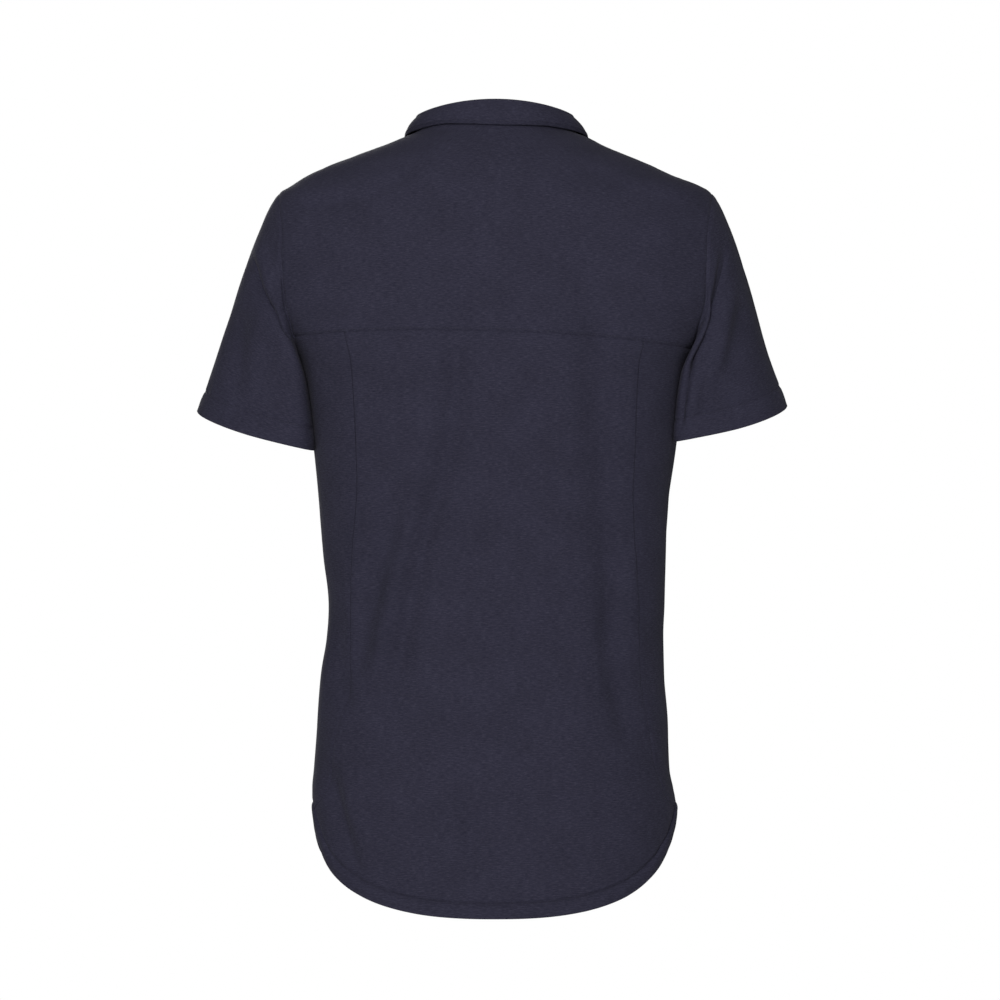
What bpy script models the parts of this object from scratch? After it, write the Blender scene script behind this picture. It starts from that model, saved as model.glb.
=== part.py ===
"""Short-sleeved polo shirt in its worn form, with no wearer.

Metres, +Z up. The front faces -Y, and the wearer's left is +X. The origin lies between the two shoulder
points of the neck, where the wearer's shoulders hold the shirt.

Every panel is a grid of points on one shared body surface, so that panels meet at their seams. A place on
that surface is an angle and a height: the angle runs from the centre back (0) round the wearer's left side
(90 degrees) to the centre front (180 degrees), and it is negative on the wearer's right.
"""

import math

import bpy
import numpy as np

# ---- driving sizes -------------------------------------------------------------------------------------
CLOTH = 0.0012  # wall of one layer of jersey
COLLAR_CLOTH = 0.0016  # wall of the two-layer collar
BAND_CLOTH = 0.0012  # wall of the placket bands
SEAM_GAP = 0.0003  # clear gap between two sewn pieces
PANEL_GAP = 0.0006  # gap between two panels at the middle of their walls, whose edges tilt with the body
SHIRT_TAIL_Z = -0.7248  # centre of the back hem
FRONT_TAIL_Z = -0.716  # centre of the front hem, cut a little shorter
VENT_Z = -0.623  # height to which the hem's curve rises at each side seam, before its rounding
VENT_TURN = 84.0  # degrees from the centre back to the end of the side seam
VENT_ROUNDING = 0.03
HEM_SQUARE, HEM_FULLNESS = 2.4, 4.0

# Body sections: height, half width on the wearer's left and right, depth behind and in front of the
# side line, and squareness (2 is an ellipse).
SECTION_COLUMNS = ("z", "left", "right", "back", "front", "square")
SECTIONS = (
    (0.0220, 0.0610, 0.0610, 0.0480, 0.0380, 2.00),
    (0.0040, 0.0745, 0.0745, 0.0580, 0.0440, 2.00),
    (-0.0030, 0.0905, 0.0895, 0.0635, 0.0475, 2.00),
    (-0.0085, 0.1040, 0.1005, 0.0675, 0.0505, 2.02),
    (-0.0160, 0.1230, 0.1185, 0.0720, 0.0545, 2.05),
    (-0.0235, 0.1435, 0.1365, 0.0765, 0.0585, 2.08),
    (-0.0310, 0.1630, 0.1535, 0.0805, 0.0620, 2.10),
    (-0.0385, 0.1785, 0.1705, 0.0840, 0.0660, 2.12),
    (-0.0460, 0.1900, 0.1905, 0.0870, 0.0700, 2.15),
    (-0.0545, 0.2020, 0.2030, 0.0900, 0.0745, 2.20),
    (-0.0800, 0.2160, 0.2160, 0.0970, 0.0870, 2.30),
    (-0.1150, 0.2250, 0.2230, 0.1045, 0.1020, 2.40),
    (-0.1500, 0.2180, 0.2170, 0.1095, 0.1155, 2.50),
    (-0.1800, 0.1985, 0.1980, 0.1120, 0.1240, 2.60),
    (-0.2000, 0.1840, 0.1835, 0.1125, 0.1280, 2.62),
    (-0.2155, 0.1745, 0.1740, 0.1120, 0.1300, 2.60),
    (-0.2500, 0.1705, 0.1695, 0.1095, 0.1315, 2.55),
    (-0.2950, 0.1690, 0.1680, 0.1055, 0.1300, 2.50),
    (-0.3400, 0.1655, 0.1630, 0.1005, 0.1260, 2.45),
    (-0.3940, 0.1608, 0.1602, 0.0950, 0.1195, 2.40),
    (-0.4390, 0.1560, 0.1590, 0.0920, 0.1150, 2.35),
    (-0.4700, 0.1580, 0.1575, 0.0925, 0.1130, 2.35),
    (-0.5050, 0.1635, 0.1580, 0.0950, 0.1125, 2.35),
    (-0.5500, 0.1670, 0.1622, 0.0995, 0.1135, 2.35),
    (-0.5950, 0.1700, 0.1640, 0.1040, 0.1155, 2.35),
    (-0.6100, 0.1712, 0.1670, 0.1055, 0.1160, 2.38),
    (-0.6300, 0.1702, 0.1700, 0.1070, 0.1165, 2.40),
    (-0.6600, 0.1680, 0.1668, 0.1090, 0.1175, 2.40),
    (-0.7000, 0.1665, 0.1640, 0.1105, 0.1180, 2.40),
    (-0.7400, 0.1660, 0.1630, 0.1115, 0.1180, 2.40),
)

# The yoke seam across the back: height at the centre, tilt, and sag towards the armholes.
YOKE_Z, YOKE_TILT, YOKE_SAG = -0.1858, 0.0306, -0.256

# Side seams, set well back: height and distance from the centre back line, seen from behind.
SIDE_SEAM_COLUMNS = ("z", "left", "right")
SIDE_SEAMS = (
    (-0.180, 0.1410, 0.1410),
    (-0.240, 0.1310, 0.1315),
    (-0.318, 0.1275, 0.1285),
    (-0.387, 0.1325, 0.1310),
    (-0.451, 0.1365, 0.1350),
    (-0.485, 0.1380, 0.1370),
    (-0.510, 0.1360, 0.1390),
    (-0.540, 0.1430, 0.1420),
    (-0.575, 0.1510, 0.1475),
    (-0.600, 0.1560, 0.1530),
    (-0.618, 0.1625, 0.1605),
)

# Armhole, seen from the side: its top on the shoulder, its foot under the arm, and its reach.
ARMHOLE_TOP_Z, ARMHOLE_FOOT_Z = -0.0545, -0.2155
ARMHOLE_BACK, ARMHOLE_FRONT = 0.0620, 0.0590

# Neckline: the shoulder point, the centre back and the centre front.
NECK_HALF_WIDTH, NECK_SIDE_Z = 0.0745, 0.0040
NECK_BACK_Z, NECK_FRONT_Z = 0.0125, -0.0780

# Sleeves: middle of the cuff, its two half axes, and the directions in which the cloth leaves the armhole
# and reaches the cuff, for the wearer's left sleeve.
SLEEVE_OUTSET_TOP, SLEEVE_OUTSET_FOOT = 0.0004, 0.0019
CUFFS = {  # side: middle, half axis across, half axis from front to back
    1: ((0.2262, -0.012, -0.2735), (0.0538, 0.0, 0.0165), (0.0, 0.0540, -0.0082)),
    -1: ((0.2240, -0.012, -0.2668), (0.0505, 0.0, 0.0145), (0.0, 0.0540, -0.0088)),
}
LEAVE_TOP, LEAVE_FOOT = (0.088, 0.0, -0.114), (0.020, 0.0, -0.030)
REACH_TOP, REACH_FOOT = (0.085, -0.010, -0.200), (-0.008, -0.003, -0.065)

# Collar.
STAND_HEIGHT_BACK, STAND_HEIGHT_SIDE, STAND_HEIGHT_FRONT = 0.0128, 0.0105, 0.0220
STAND_LEAN_BACK, STAND_LEAN_SIDE, STAND_LEAN_FRONT = 0.0030, 0.0055, 0.0070
STAND_OVERLAP = 0.010  # how far each end passes the centre front
STAND_STEP = 0.0012  # how far each end moves out or in, so that the left one lies over the right
ROLL_RADIUS = 0.0023  # where the collar turns over
ROLL_GAP = 0.0010  # from the top of the stand to the start of the roll
ROLL_RISE = 0.0017  # from the top of the stand to the middle of the roll
FALL_FRONT_GAP = 0.0045  # from the centre front to the end of the fall's fold
# Outer edge of the fall, seen from above: turn round the neck, bearing from the middle of the neck (both in
# degrees from the centre back) and distance from it. The edge follows the body cloth below it.
FALL_EDGE_COLUMNS = ("turn", "bearing", "reach")
FALL_EDGE = (
    (0.0, 0.0, 0.0565),
    (11.0, 13.5, 0.0570),
    (35.0, 42.0, 0.0616),
    (55.0, 61.5, 0.0683),
    (75.0, 79.0, 0.0764),
    (90.0, 92.0, 0.0830),
    (104.0, 105.5, 0.0895),
    (118.0, 118.0, 0.0965),
    (138.0, 132.0, 0.1030),
    (158.0, 142.5, 0.1062),
    (176.5, 151.5, 0.1096),
)
FALL_SHIFT = -0.0015  # the fall lies a little to the wearer's right
FALL_LIFT = 0.0030  # clear height of the fall's edge over the body cloth

# Placket and buttons.
SLIT_HALF_WIDTH, SLIT_FOOT_Z = 0.0125, -0.2045
BAND_HALF_WIDTH, BAND_FOOT_Z = 0.0150, -0.2090
BAND_TOP_GAP = 0.0012  # from the neckline to the top of the bands
BUTTON_RADIUS, BUTTON_HEIGHT, BUTTON_RIM = 0.0057, 0.0026, 0.0007
BUTTON_HOLE_RADIUS, BUTTON_HOLE_OFFSET = 0.0008, 0.0014
BUTTON_STAND_GAP = 0.0006  # from the stand to its button
BUTTON_HEIGHTS = (-0.1180, -0.1680)  # on the placket, below the one on the stand

# Largest folds: facing (1 behind, -1 in front), depth (below 0 for a trough), half width, and a path of
# (x, z) places as seen from behind, from its top to its foot.
BODY_FOLDS = (
    (1, -0.0045, 0.015, ((0.022, -0.090), (0.035, -0.150), (0.038, -0.250), (0.052, -0.322), (0.068, -0.380),
                         (0.080, -0.450), (0.100, -0.535), (0.118, -0.605))),
    (1, 0.0030, 0.014, ((0.060, -0.300), (0.082, -0.370), (0.100, -0.440), (0.114, -0.520))),
    (1, -0.0055, 0.013, ((0.080, -0.310), (0.096, -0.365), (0.112, -0.425), (0.126, -0.480), (0.130, -0.530))),
    (1, -0.0060, 0.018, ((-0.066, -0.070), (-0.082, -0.180), (-0.089, -0.290), (-0.101, -0.400), (-0.110, -0.490),
                         (-0.124, -0.550), (-0.142, -0.610))),
    (1, 0.0035, 0.018, ((-0.040, -0.110), (-0.056, -0.230), (-0.064, -0.340), (-0.074, -0.450), (-0.084, -0.560))),
    (1, -0.0040, 0.012, ((0.005, -0.605), (0.020, -0.645), (0.034, -0.700))),
    (1, -0.0040, 0.011, ((0.158, -0.570), (0.150, -0.625), (0.134, -0.685))),
    (-1, -0.0045, 0.016, ((0.060, -0.150), (0.072, -0.260), (0.088, -0.390), (0.112, -0.520))),
    (-1, -0.0050, 0.017, ((-0.050, -0.230), (-0.066, -0.340), (-0.090, -0.460), (-0.120, -0.570))),
    (-1, 0.0035, 0.018, ((0.030, -0.300), (0.040, -0.420), (0.058, -0.560), (0.066, -0.660))),
)
SLEEVE_FOLDS = {  # side: folds as above
    1: (
        (1, -0.0050, 0.006, ((0.2290, -0.112), (0.2235, -0.130), (0.2170, -0.150), (0.2070, -0.170), (0.1960, -0.188))),
        (1, 0.0035, 0.009, ((0.2200, -0.090), (0.2150, -0.120), (0.2070, -0.145), (0.1980, -0.165))),
        (1, -0.0025, 0.010, ((0.2380, -0.150), (0.2400, -0.200), (0.2400, -0.250))),
        (-1, -0.0040, 0.009, ((0.2200, -0.110), (0.2100, -0.150), (0.1950, -0.190))),
    ),
    -1: (
        (1, -0.0060, 0.007, ((-0.2160, -0.110), (-0.2120, -0.145), (-0.2030, -0.175), (-0.1920, -0.205), (-0.1820, -0.240))),
        (1, 0.0035, 0.008, ((-0.2230, -0.130), (-0.2170, -0.170), (-0.2080, -0.205), (-0.2000, -0.245))),
        (1, -0.0030, 0.010, ((-0.2290, -0.150), (-0.2270, -0.190), (-0.2230, -0.230))),
        (-1, -0.0040, 0.010, ((-0.2180, -0.110), (-0.2080, -0.150), (-0.1930, -0.195))),
    ),
}

# Cells of the grids. Panels that share a seam share its cells.
WING_COLUMNS, BACK_HALF_COLUMNS = 3, 13
WING_ROWS, SKIRT_ROWS = 3, 20
SWEEP_ROWS = 2  # last cells of the side seam, which sweep out to the vent
YOKE_ROWS, CHEST_ROWS = 11, 12
SHOULDER_COLUMNS = 6
FRONT_HALF_COLUMNS = 13
SLEEVE_ROWS = 13
COLLAR_HALF_COLUMNS = 18
STAND_ROWS, ROLL_ROWS, FALL_ROWS = 2, 5, 4
BAND_COLUMNS, BAND_ROWS = 3, 10
BUTTON_SIDES, HOLE_SIDES = 28, 10

NAVY = (0.030, 0.029, 0.048, 1.0)
BUTTON_NAVY = (0.020, 0.020, 0.032, 1.0)


# ---- small tools ---------------------------------------------------------------------------------------
def column(rows, columns, name):
    return np.array([row[columns.index(name)] for row in rows], float)


def monotone(xs, ys, x):
    """A smooth curve through the points (xs, ys) that never overshoots them, read at x."""
    order = np.argsort(xs)
    xs, ys = xs[order], ys[order]
    step = np.diff(xs)
    slope = np.diff(ys) / step
    inner = np.where(
        slope[:-1] * slope[1:] > 0,
        2 * slope[:-1] * slope[1:] / np.where(slope[:-1] + slope[1:] == 0, 1, slope[:-1] + slope[1:]),
        0.0,
    )
    tangent = np.concatenate([slope[:1], inner, slope[-1:]])
    x = np.clip(x, xs[0], xs[-1])
    k = np.clip(np.searchsorted(xs, x) - 1, 0, len(step) - 1)
    t = (x - xs[k]) / step[k]
    return (
        ys[k] * (1 + 2 * t) * (1 - t) ** 2
        + tangent[k] * step[k] * t * (1 - t) ** 2
        + ys[k + 1] * t * t * (3 - 2 * t)
        + tangent[k + 1] * step[k] * t * t * (t - 1)
    )


def smooth_step(value):
    t = np.clip(value, 0.0, 1.0)
    return t * t * (3 - 2 * t)


def smooth_path(points, count):
    """count places along a smooth curve through points, even in distance from point to point."""
    points = np.array(points, float)
    reach = np.concatenate([[0], np.cumsum(np.linalg.norm(np.diff(points, axis=0), axis=1))])
    padded = np.vstack([2 * points[0] - points[1], points, 2 * points[-1] - points[-2]])
    where = np.linspace(0, reach[-1], count)
    k = np.clip(np.searchsorted(reach, where, side="right") - 1, 0, len(points) - 2)
    t = ((where - reach[k]) / (reach[k + 1] - reach[k]))[:, None]
    a, b, c, d = padded[k], padded[k + 1], padded[k + 2], padded[k + 3]
    return 0.5 * (2 * b + (c - a) * t + (2 * a - 5 * b + 4 * c - d) * t**2 + (3 * b - a - 3 * c + d) * t**3)


def fold_height(folds, x, z, facing):
    """How far the folds move the cloth outwards at a place seen from behind. facing is the cloth's own
    turn to the back, from -1 in front to 1 behind."""
    moved = np.zeros_like(x)
    for side, depth, half_width, points in folds:
        line = smooth_path(points, 30)
        start, run = line[:-1], np.diff(line, axis=0)
        away = np.stack([x, z], -1)[..., None, :] - start
        share = np.clip((away * run).sum(-1) / (run * run).sum(-1), 0, 1)
        distance = np.linalg.norm(away - share[..., None] * run, axis=-1)
        nearest = distance.argmin(-1)
        along = (nearest + np.take_along_axis(share, nearest[..., None], -1)[..., 0]) / len(run)
        taper = smooth_step(along / 0.3) * smooth_step((1 - along) / 0.3)
        shown = smooth_step((side * facing) / 0.35)
        moved += depth * taper * shown * np.exp(-((distance.min(-1) / half_width) ** 2))
    return moved


# ---- the body surface ----------------------------------------------------------------------------------
def section(name, z):
    return monotone(column(SECTIONS, SECTION_COLUMNS, "z"), column(SECTIONS, SECTION_COLUMNS, name), z)


def plain_body(angle, z):
    """A point of the body surface before its folds."""
    sine, cosine, square = np.sin(angle), np.cos(angle), section("square", z)
    reach = (np.abs(sine) ** square + np.abs(cosine) ** square) ** (-1 / square)
    half = np.where(sine >= 0, section("left", z), section("right", z))
    depth = np.where(cosine >= 0, section("back", z), section("front", z))
    return np.stack([half * reach * sine, depth * reach * cosine, z], -1)


def body_normal(angle, z):
    step_angle, step_z = 0.004, 0.0008
    around = plain_body(angle + step_angle, z) - plain_body(angle - step_angle, z)
    up = plain_body(angle, z + step_z) - plain_body(angle, z - step_z)
    normal = np.cross(up, around)
    return normal / np.linalg.norm(normal, axis=-1, keepdims=True)


def body(angle, z, lift=0.0):
    """A point of the body surface, moved out from it by lift."""
    angle, z = np.broadcast_arrays(np.asarray(angle, float), np.asarray(z, float))
    place = plain_body(angle, z)
    moved = fold_height(BODY_FOLDS, place[..., 0], z, np.cos(angle)) + lift
    return place + body_normal(angle, z) * moved[..., None]


def angle_at_x(x, z, behind):
    """The angle at which the section at height z lies x from the centre line."""
    square = section("square", z)
    half = np.where(x >= 0, section("left", z), section("right", z))
    share = np.clip(np.abs(x) / half, 0, 0.99999) ** square
    angle = np.arctan((share / (1 - share)) ** (1 / square))
    return np.sign(x) * (angle if behind else math.pi - angle)


def angle_at_y(y, z, side):
    square = section("square", z)
    depth = np.where(y >= 0, section("back", z), section("front", z))
    share = np.clip(np.abs(y) / depth, 1e-6, 0.99999) ** square
    angle = np.arctan((1 / share - 1) ** (1 / square))
    return side * np.where(y >= 0, angle, math.pi - angle)


def armhole(turn, side, grow=0.0):
    """Angle and height of a place on the armhole: turn is 0 on the shoulder, 90 degrees behind, 180 under
    the arm and 270 in front."""
    half = (ARMHOLE_TOP_Z - ARMHOLE_FOOT_Z) / 2 + grow
    z = (ARMHOLE_TOP_Z + ARMHOLE_FOOT_Z) / 2 + half * np.cos(turn)
    sine = np.sin(turn)
    y = np.where(sine >= 0, ARMHOLE_BACK + grow, ARMHOLE_FRONT + grow) * sine
    return angle_at_y(y, z, side), z


def yoke_seam_z(x):
    return YOKE_Z + YOKE_TILT * x + YOKE_SAG * x * x


def armhole_turn_at_yoke(side):
    """Where the yoke seam meets the armhole."""
    half = (ARMHOLE_TOP_Z - ARMHOLE_FOOT_Z) / 2
    middle = (ARMHOLE_TOP_Z + ARMHOLE_FOOT_Z) / 2
    z = YOKE_Z
    for _ in range(8):
        turn = math.acos((z - middle) / half)
        angle, height = armhole(np.array(turn), side)
        z = float(yoke_seam_z(plain_body(angle, height)[0]))
    return turn


def side_seam_angle(z, side):
    name = "left" if side > 0 else "right"
    heights = column(SIDE_SEAMS, SIDE_SEAM_COLUMNS, "z")
    angles = angle_at_x(side * column(SIDE_SEAMS, SIDE_SEAM_COLUMNS, name), heights, True)
    vent = side * math.radians(VENT_TURN)
    heights = np.append(heights, hem_z(vent))
    angles = np.append(angles, vent)
    return monotone(heights, angles, z)


def side_seam_top(side):
    """Angle and height at which the side seam meets the yoke seam."""
    z = YOKE_Z
    for _ in range(8):
        angle = float(side_seam_angle(np.array(z), side))
        z = float(yoke_seam_z(plain_body(np.array(angle), np.array(z))[0]))
    return angle, z


def hem_z(angle):
    """Height of the hem: a rounded tail behind and in front, and a rise at each side seam."""
    vent = math.radians(VENT_TURN)
    angle = np.abs(angle)
    turn = np.interp(angle, (0, vent, math.pi), (0, math.pi / 2, math.pi))
    sine = np.abs(np.sin(turn)) ** HEM_SQUARE
    cosine = np.hypot(np.cos(turn), VENT_ROUNDING) ** HEM_SQUARE
    tail = SHIRT_TAIL_Z + (FRONT_TAIL_Z - SHIRT_TAIL_Z) * smooth_step((turn - 1.2) / 0.75)
    return VENT_Z + (tail - VENT_Z) * (cosine / (sine + cosine)) ** (1 / HEM_FULLNESS)


# ---- grids of places (angle, z) ------------------------------------------------------------------------
def patch(foot, top, left, right):
    """A grid of places between four edges that share their corners."""
    across = np.linspace(0, 1, len(foot))[None, :, None]
    upward = np.linspace(0, 1, len(left))[:, None, None]
    ruled_up = (1 - upward) * foot[None] + upward * top[None]
    ruled_across = (1 - across) * left[:, None] + across * right[:, None]
    corners = (
        (1 - across) * (1 - upward) * foot[0]
        + across * (1 - upward) * foot[-1]
        + (1 - across) * upward * top[0]
        + across * upward * top[-1]
    )
    return ruled_up + ruled_across - corners


def shoulder_edge(side, towards_front):
    """Places on the shoulder seam, from the armhole to the neck, and how they are spaced."""
    half = section("left" if side > 0 else "right", np.linspace(ARMHOLE_TOP_Z, NECK_SIDE_Z, 200))
    x = np.linspace(half[0], half[-1], SHOULDER_COLUMNS + 1)
    z = np.interp(-x, -half, np.linspace(ARMHOLE_TOP_Z, NECK_SIDE_Z, 200))
    turn = side * (math.pi / 2 + towards_front * SEAM_GAP / 2 / 0.07)
    return np.stack([np.full_like(z, turn), z], -1)


def neckline(turn):
    """Distance from the centre line and height on the neckline: turn is 0 at the centre back and 180
    degrees at the centre front."""
    fall = np.cos(turn) ** 2
    low = np.where(np.cos(turn) >= 0, NECK_BACK_Z, NECK_FRONT_Z)
    return NECK_HALF_WIDTH * np.sin(turn), NECK_SIDE_Z + (low - NECK_SIDE_Z) * fall


def neck_place(turn, side):
    """The neckline as angle and height."""
    x, z = neckline(turn)
    behind = math.cos(turn) >= 0
    return float(angle_at_x(np.array(side * max(x, 1e-9)), np.array(z), behind)), float(z)


def yoke_half(side):
    """Places of half the yoke, from its armhole to the centre back, and from the yoke seam to its top."""
    top_angle, top_z = side_seam_top(side)
    turn = armhole_turn_at_yoke(side)
    arm = armhole(np.linspace(turn, 0, YOKE_ROWS + 1), side, SEAM_GAP / 2)
    left = np.stack(arm, -1)
    foot_angle = np.concatenate(
        [
            np.linspace(left[0, 0], top_angle, WING_COLUMNS + 1),
            np.linspace(top_angle, 0, BACK_HALF_COLUMNS + 1)[1:],
        ]
    )
    foot_z = yoke_seam_z(plain_body(foot_angle, np.full_like(foot_angle, YOKE_Z))[:, 0]) + PANEL_GAP / 2
    foot = np.stack([foot_angle, foot_z], -1)
    neck_columns = WING_COLUMNS + BACK_HALF_COLUMNS - SHOULDER_COLUMNS
    neck = [neck_place(t, side) for t in np.linspace(math.pi / 2, 0, neck_columns + 1)[1:]]
    top = np.vstack([shoulder_edge(side, -1), neck])
    top[:, 0] = side * np.minimum(np.abs(top[:, 0]), math.pi / 2 - SEAM_GAP / 2 / 0.07)
    left[0], left[-1] = foot[0], top[0]
    right = np.stack([np.zeros(YOKE_ROWS + 1), np.linspace(foot[-1, 1], top[-1, 1], YOKE_ROWS + 1)], -1)
    right[0], right[-1] = foot[-1], top[-1]
    return patch(foot, top, left, right)


def seam_places(side, shift):
    """Places down a side seam, beside the armhole and then to the vent, moved by shift towards the front."""
    top = side_seam_top(side)[1] - PANEL_GAP / 2
    vent_z = float(hem_z(math.radians(VENT_TURN)))
    z = np.linspace(ARMHOLE_FOOT_Z, vent_z, 400)
    line = plain_body(side_seam_angle(z, side), z)
    run = np.concatenate([[0], np.cumsum(np.linalg.norm(np.diff(line, axis=0), axis=1))])
    z = np.interp(np.linspace(0, run[-1], SKIRT_ROWS + 1), run, z)
    z = np.concatenate([np.linspace(top, ARMHOLE_FOOT_Z, WING_ROWS + 1), z[1:]])
    turn = side * side_seam_angle(z, side)
    pace = np.linalg.norm(plain_body(turn + 0.001, z) - plain_body(turn - 0.001, z), axis=-1) / 0.002
    along, down = np.gradient(turn) * pace, np.gradient(z)
    length = np.hypot(along, down)
    return np.stack([side * (turn - shift * down / length / pace), z + shift * along / length], -1)


def hem_columns(start, end, count):
    """Angles between two places of the hem, and the hem's height there."""
    angle = np.linspace(start, end, count + 1)
    return np.stack([angle, hem_z(angle)], -1)


def back_half(side):
    """Places of half the back, from its side seam to the centre back, top row first."""
    seam = seam_places(side, -PANEL_GAP / 2)
    top_angle = np.linspace(seam[0, 0], 0, BACK_HALF_COLUMNS + 1)
    top_z = yoke_seam_z(plain_body(top_angle, np.full_like(top_angle, YOKE_Z))[:, 0]) - PANEL_GAP / 2
    top = np.stack([top_angle, top_z], -1)
    hem = hem_columns(seam[-1, 0], 0.0, BACK_HALF_COLUMNS)
    hem[0] = seam[-1]
    seam[0] = top[0]
    middle = np.stack([np.zeros(len(seam)), np.linspace(top[-1, 1], hem[-1, 1], len(seam))], -1)
    return patch(top, hem, seam, middle)


def wing(side):
    """Places of the part of the front that reaches round to the side seam, beside the armhole."""
    seam = seam_places(side, PANEL_GAP / 2)[: WING_ROWS + 1]
    turn = np.linspace(armhole_turn_at_yoke(side), math.pi, WING_ROWS + 1)
    arm = np.stack(armhole(turn, side, SEAM_GAP / 2), -1)
    top_angle = np.linspace(seam[0, 0], arm[0, 0], WING_COLUMNS + 1)
    top_z = yoke_seam_z(plain_body(top_angle, np.full_like(top_angle, YOKE_Z))[:, 0]) - PANEL_GAP / 2
    top = np.stack([top_angle, top_z], -1)
    foot = np.linspace(seam[-1], arm[-1], WING_COLUMNS + 1)
    seam[0], arm[0] = top[0], top[-1]
    return patch(top, foot, seam, arm)


def slit_edge(z, side):
    return angle_at_x(np.full_like(z, side * SLIT_HALF_WIDTH), z, False)


def chest_half(side):
    """Places of half the upper front, from the armhole to the placket slit, top row first."""
    turn = np.linspace(2 * math.pi, math.pi, CHEST_ROWS + 1)
    arm = np.stack(armhole(turn, side, SEAM_GAP / 2), -1)
    neck_columns = FRONT_HALF_COLUMNS - SHOULDER_COLUMNS
    last_turn = math.pi - math.asin(SLIT_HALF_WIDTH / NECK_HALF_WIDTH)
    neck = [neck_place(t, side) for t in np.linspace(math.pi / 2, last_turn, neck_columns + 1)[1:]]
    top = np.vstack([shoulder_edge(side, 1), neck])
    slit_z = np.concatenate([np.linspace(top[-1, 1], SLIT_FOOT_Z, CHEST_ROWS), [ARMHOLE_FOOT_Z]])
    slit = np.stack([slit_edge(slit_z, side), slit_z], -1)
    foot = np.linspace(arm[-1], slit[-1], FRONT_HALF_COLUMNS + 1)
    arm[0], slit[0] = top[0], top[-1]
    return patch(top, foot, arm, slit)


def skirt_half(side):
    """Places of half the lower front, from its side seam to the placket's line, top row first. The last
    cells of the side seam belong to the lowest row, so that no cell folds over at the vent."""
    seam = seam_places(side, PANEL_GAP / 2)[WING_ROWS:]
    sweep = seam[-SWEEP_ROWS - 1 : -1]
    seam = seam[:-SWEEP_ROWS]
    top = np.vstack([wing(side)[-1], chest_half(side)[-1][1:]])
    vent = seam_places(side, PANEL_GAP / 2)[-1]
    middle_angle = float(slit_edge(np.array(FRONT_TAIL_Z), side))
    hem = hem_columns(vent[0], middle_angle, WING_COLUMNS + FRONT_HALF_COLUMNS - SWEEP_ROWS)
    hem[0] = vent
    foot = np.vstack([sweep, hem])
    middle_z = np.linspace(ARMHOLE_FOOT_Z, hem[-1, 1], len(seam))
    middle = np.stack([slit_edge(middle_z, side), middle_z], -1)
    middle[0], middle[-1], seam[0] = top[-1], foot[-1], top[0]
    return patch(top, foot, seam, middle)


# ---- meshes --------------------------------------------------------------------------------------------
class Shell:
    """Gathers grids of points as one open surface, and joins the points that they share."""

    def __init__(self):
        self.points, self.faces, self.found = [], [], {}

    def index(self, point):
        key = tuple(np.round(np.asarray(point) * 1e6).astype(int))
        if key not in self.found:
            self.found[key] = len(self.points)
            self.points.append(tuple(float(v) for v in point))
        return self.found[key]

    def add(self, grid, flip=False):
        rows, columns = grid.shape[:2]
        numbers = [[self.index(grid[r, c]) for c in range(columns)] for r in range(rows)]
        for r in range(rows - 1):
            for c in range(columns - 1):
                face = [numbers[r][c], numbers[r + 1][c], numbers[r + 1][c + 1], numbers[r][c + 1]]
                face = list(dict.fromkeys(face))
                if len(face) > 2:
                    self.faces.append(face[::-1] if flip else face)


def material(name, colour, roughness):
    made = bpy.data.materials.new(name)
    made.use_nodes = True
    shader = made.node_tree.nodes["Principled BSDF"]
    shader.inputs["Base Color"].default_value = colour
    shader.inputs["Roughness"].default_value = roughness
    shader.inputs["Metallic"].default_value = 0.0
    return made


def cloth_object(name, shell, thickness, finish, collection):
    """A closed wall of cloth, half its thickness to each side of the open surface."""
    mesh = bpy.data.meshes.new(name)
    mesh.from_pydata(shell.points, [], shell.faces)
    mesh.shade_smooth()
    mesh.materials.append(finish)
    made = bpy.data.objects.new(name, mesh)
    collection.objects.link(made)
    wall = made.modifiers.new("wall", "SOLIDIFY")
    wall.thickness = thickness
    wall.offset = 0.0
    wall.use_even_offset = False
    return made


def yoke_shell():
    shell = Shell()
    for side in (1, -1):
        grid = yoke_half(side)
        shell.add(body(grid[..., 0], grid[..., 1]), flip=side > 0)
    return shell


def back_shell():
    shell = Shell()
    for side in (1, -1):
        grid = back_half(side)
        shell.add(body(grid[..., 0], grid[..., 1]), flip=side < 0)
    return shell


def front_shell():
    shell = Shell()
    edge_columns = []
    for side in (1, -1):
        for grid in (wing(side), chest_half(side), skirt_half(side)):
            shell.add(body(grid[..., 0], grid[..., 1]), flip=side > 0)
        chest, skirt = chest_half(side), skirt_half(side)
        edge_columns.append(np.vstack([chest[-2:, -1], skirt[1:, -1]]))
    middle = (edge_columns[0] + edge_columns[1]) / 2
    middle[:, 0] = math.pi
    strip = [body(places[:, 0], places[:, 1]) for places in (edge_columns[0], middle, edge_columns[1])]
    shell.add(np.stack(strip, 1), flip=True)
    return shell


# ---- sleeves -------------------------------------------------------------------------------------------
def sleeve_turns(side):
    """Places round the armhole, shared with the panels that meet the sleeve there."""
    yoke_turn = armhole_turn_at_yoke(side)
    return np.concatenate(
        [
            np.linspace(0, yoke_turn, YOKE_ROWS + 1),
            np.linspace(yoke_turn, math.pi, WING_ROWS + 1)[1:],
            np.linspace(math.pi, 2 * math.pi, CHEST_ROWS + 1)[1:],
        ]
    )


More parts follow.
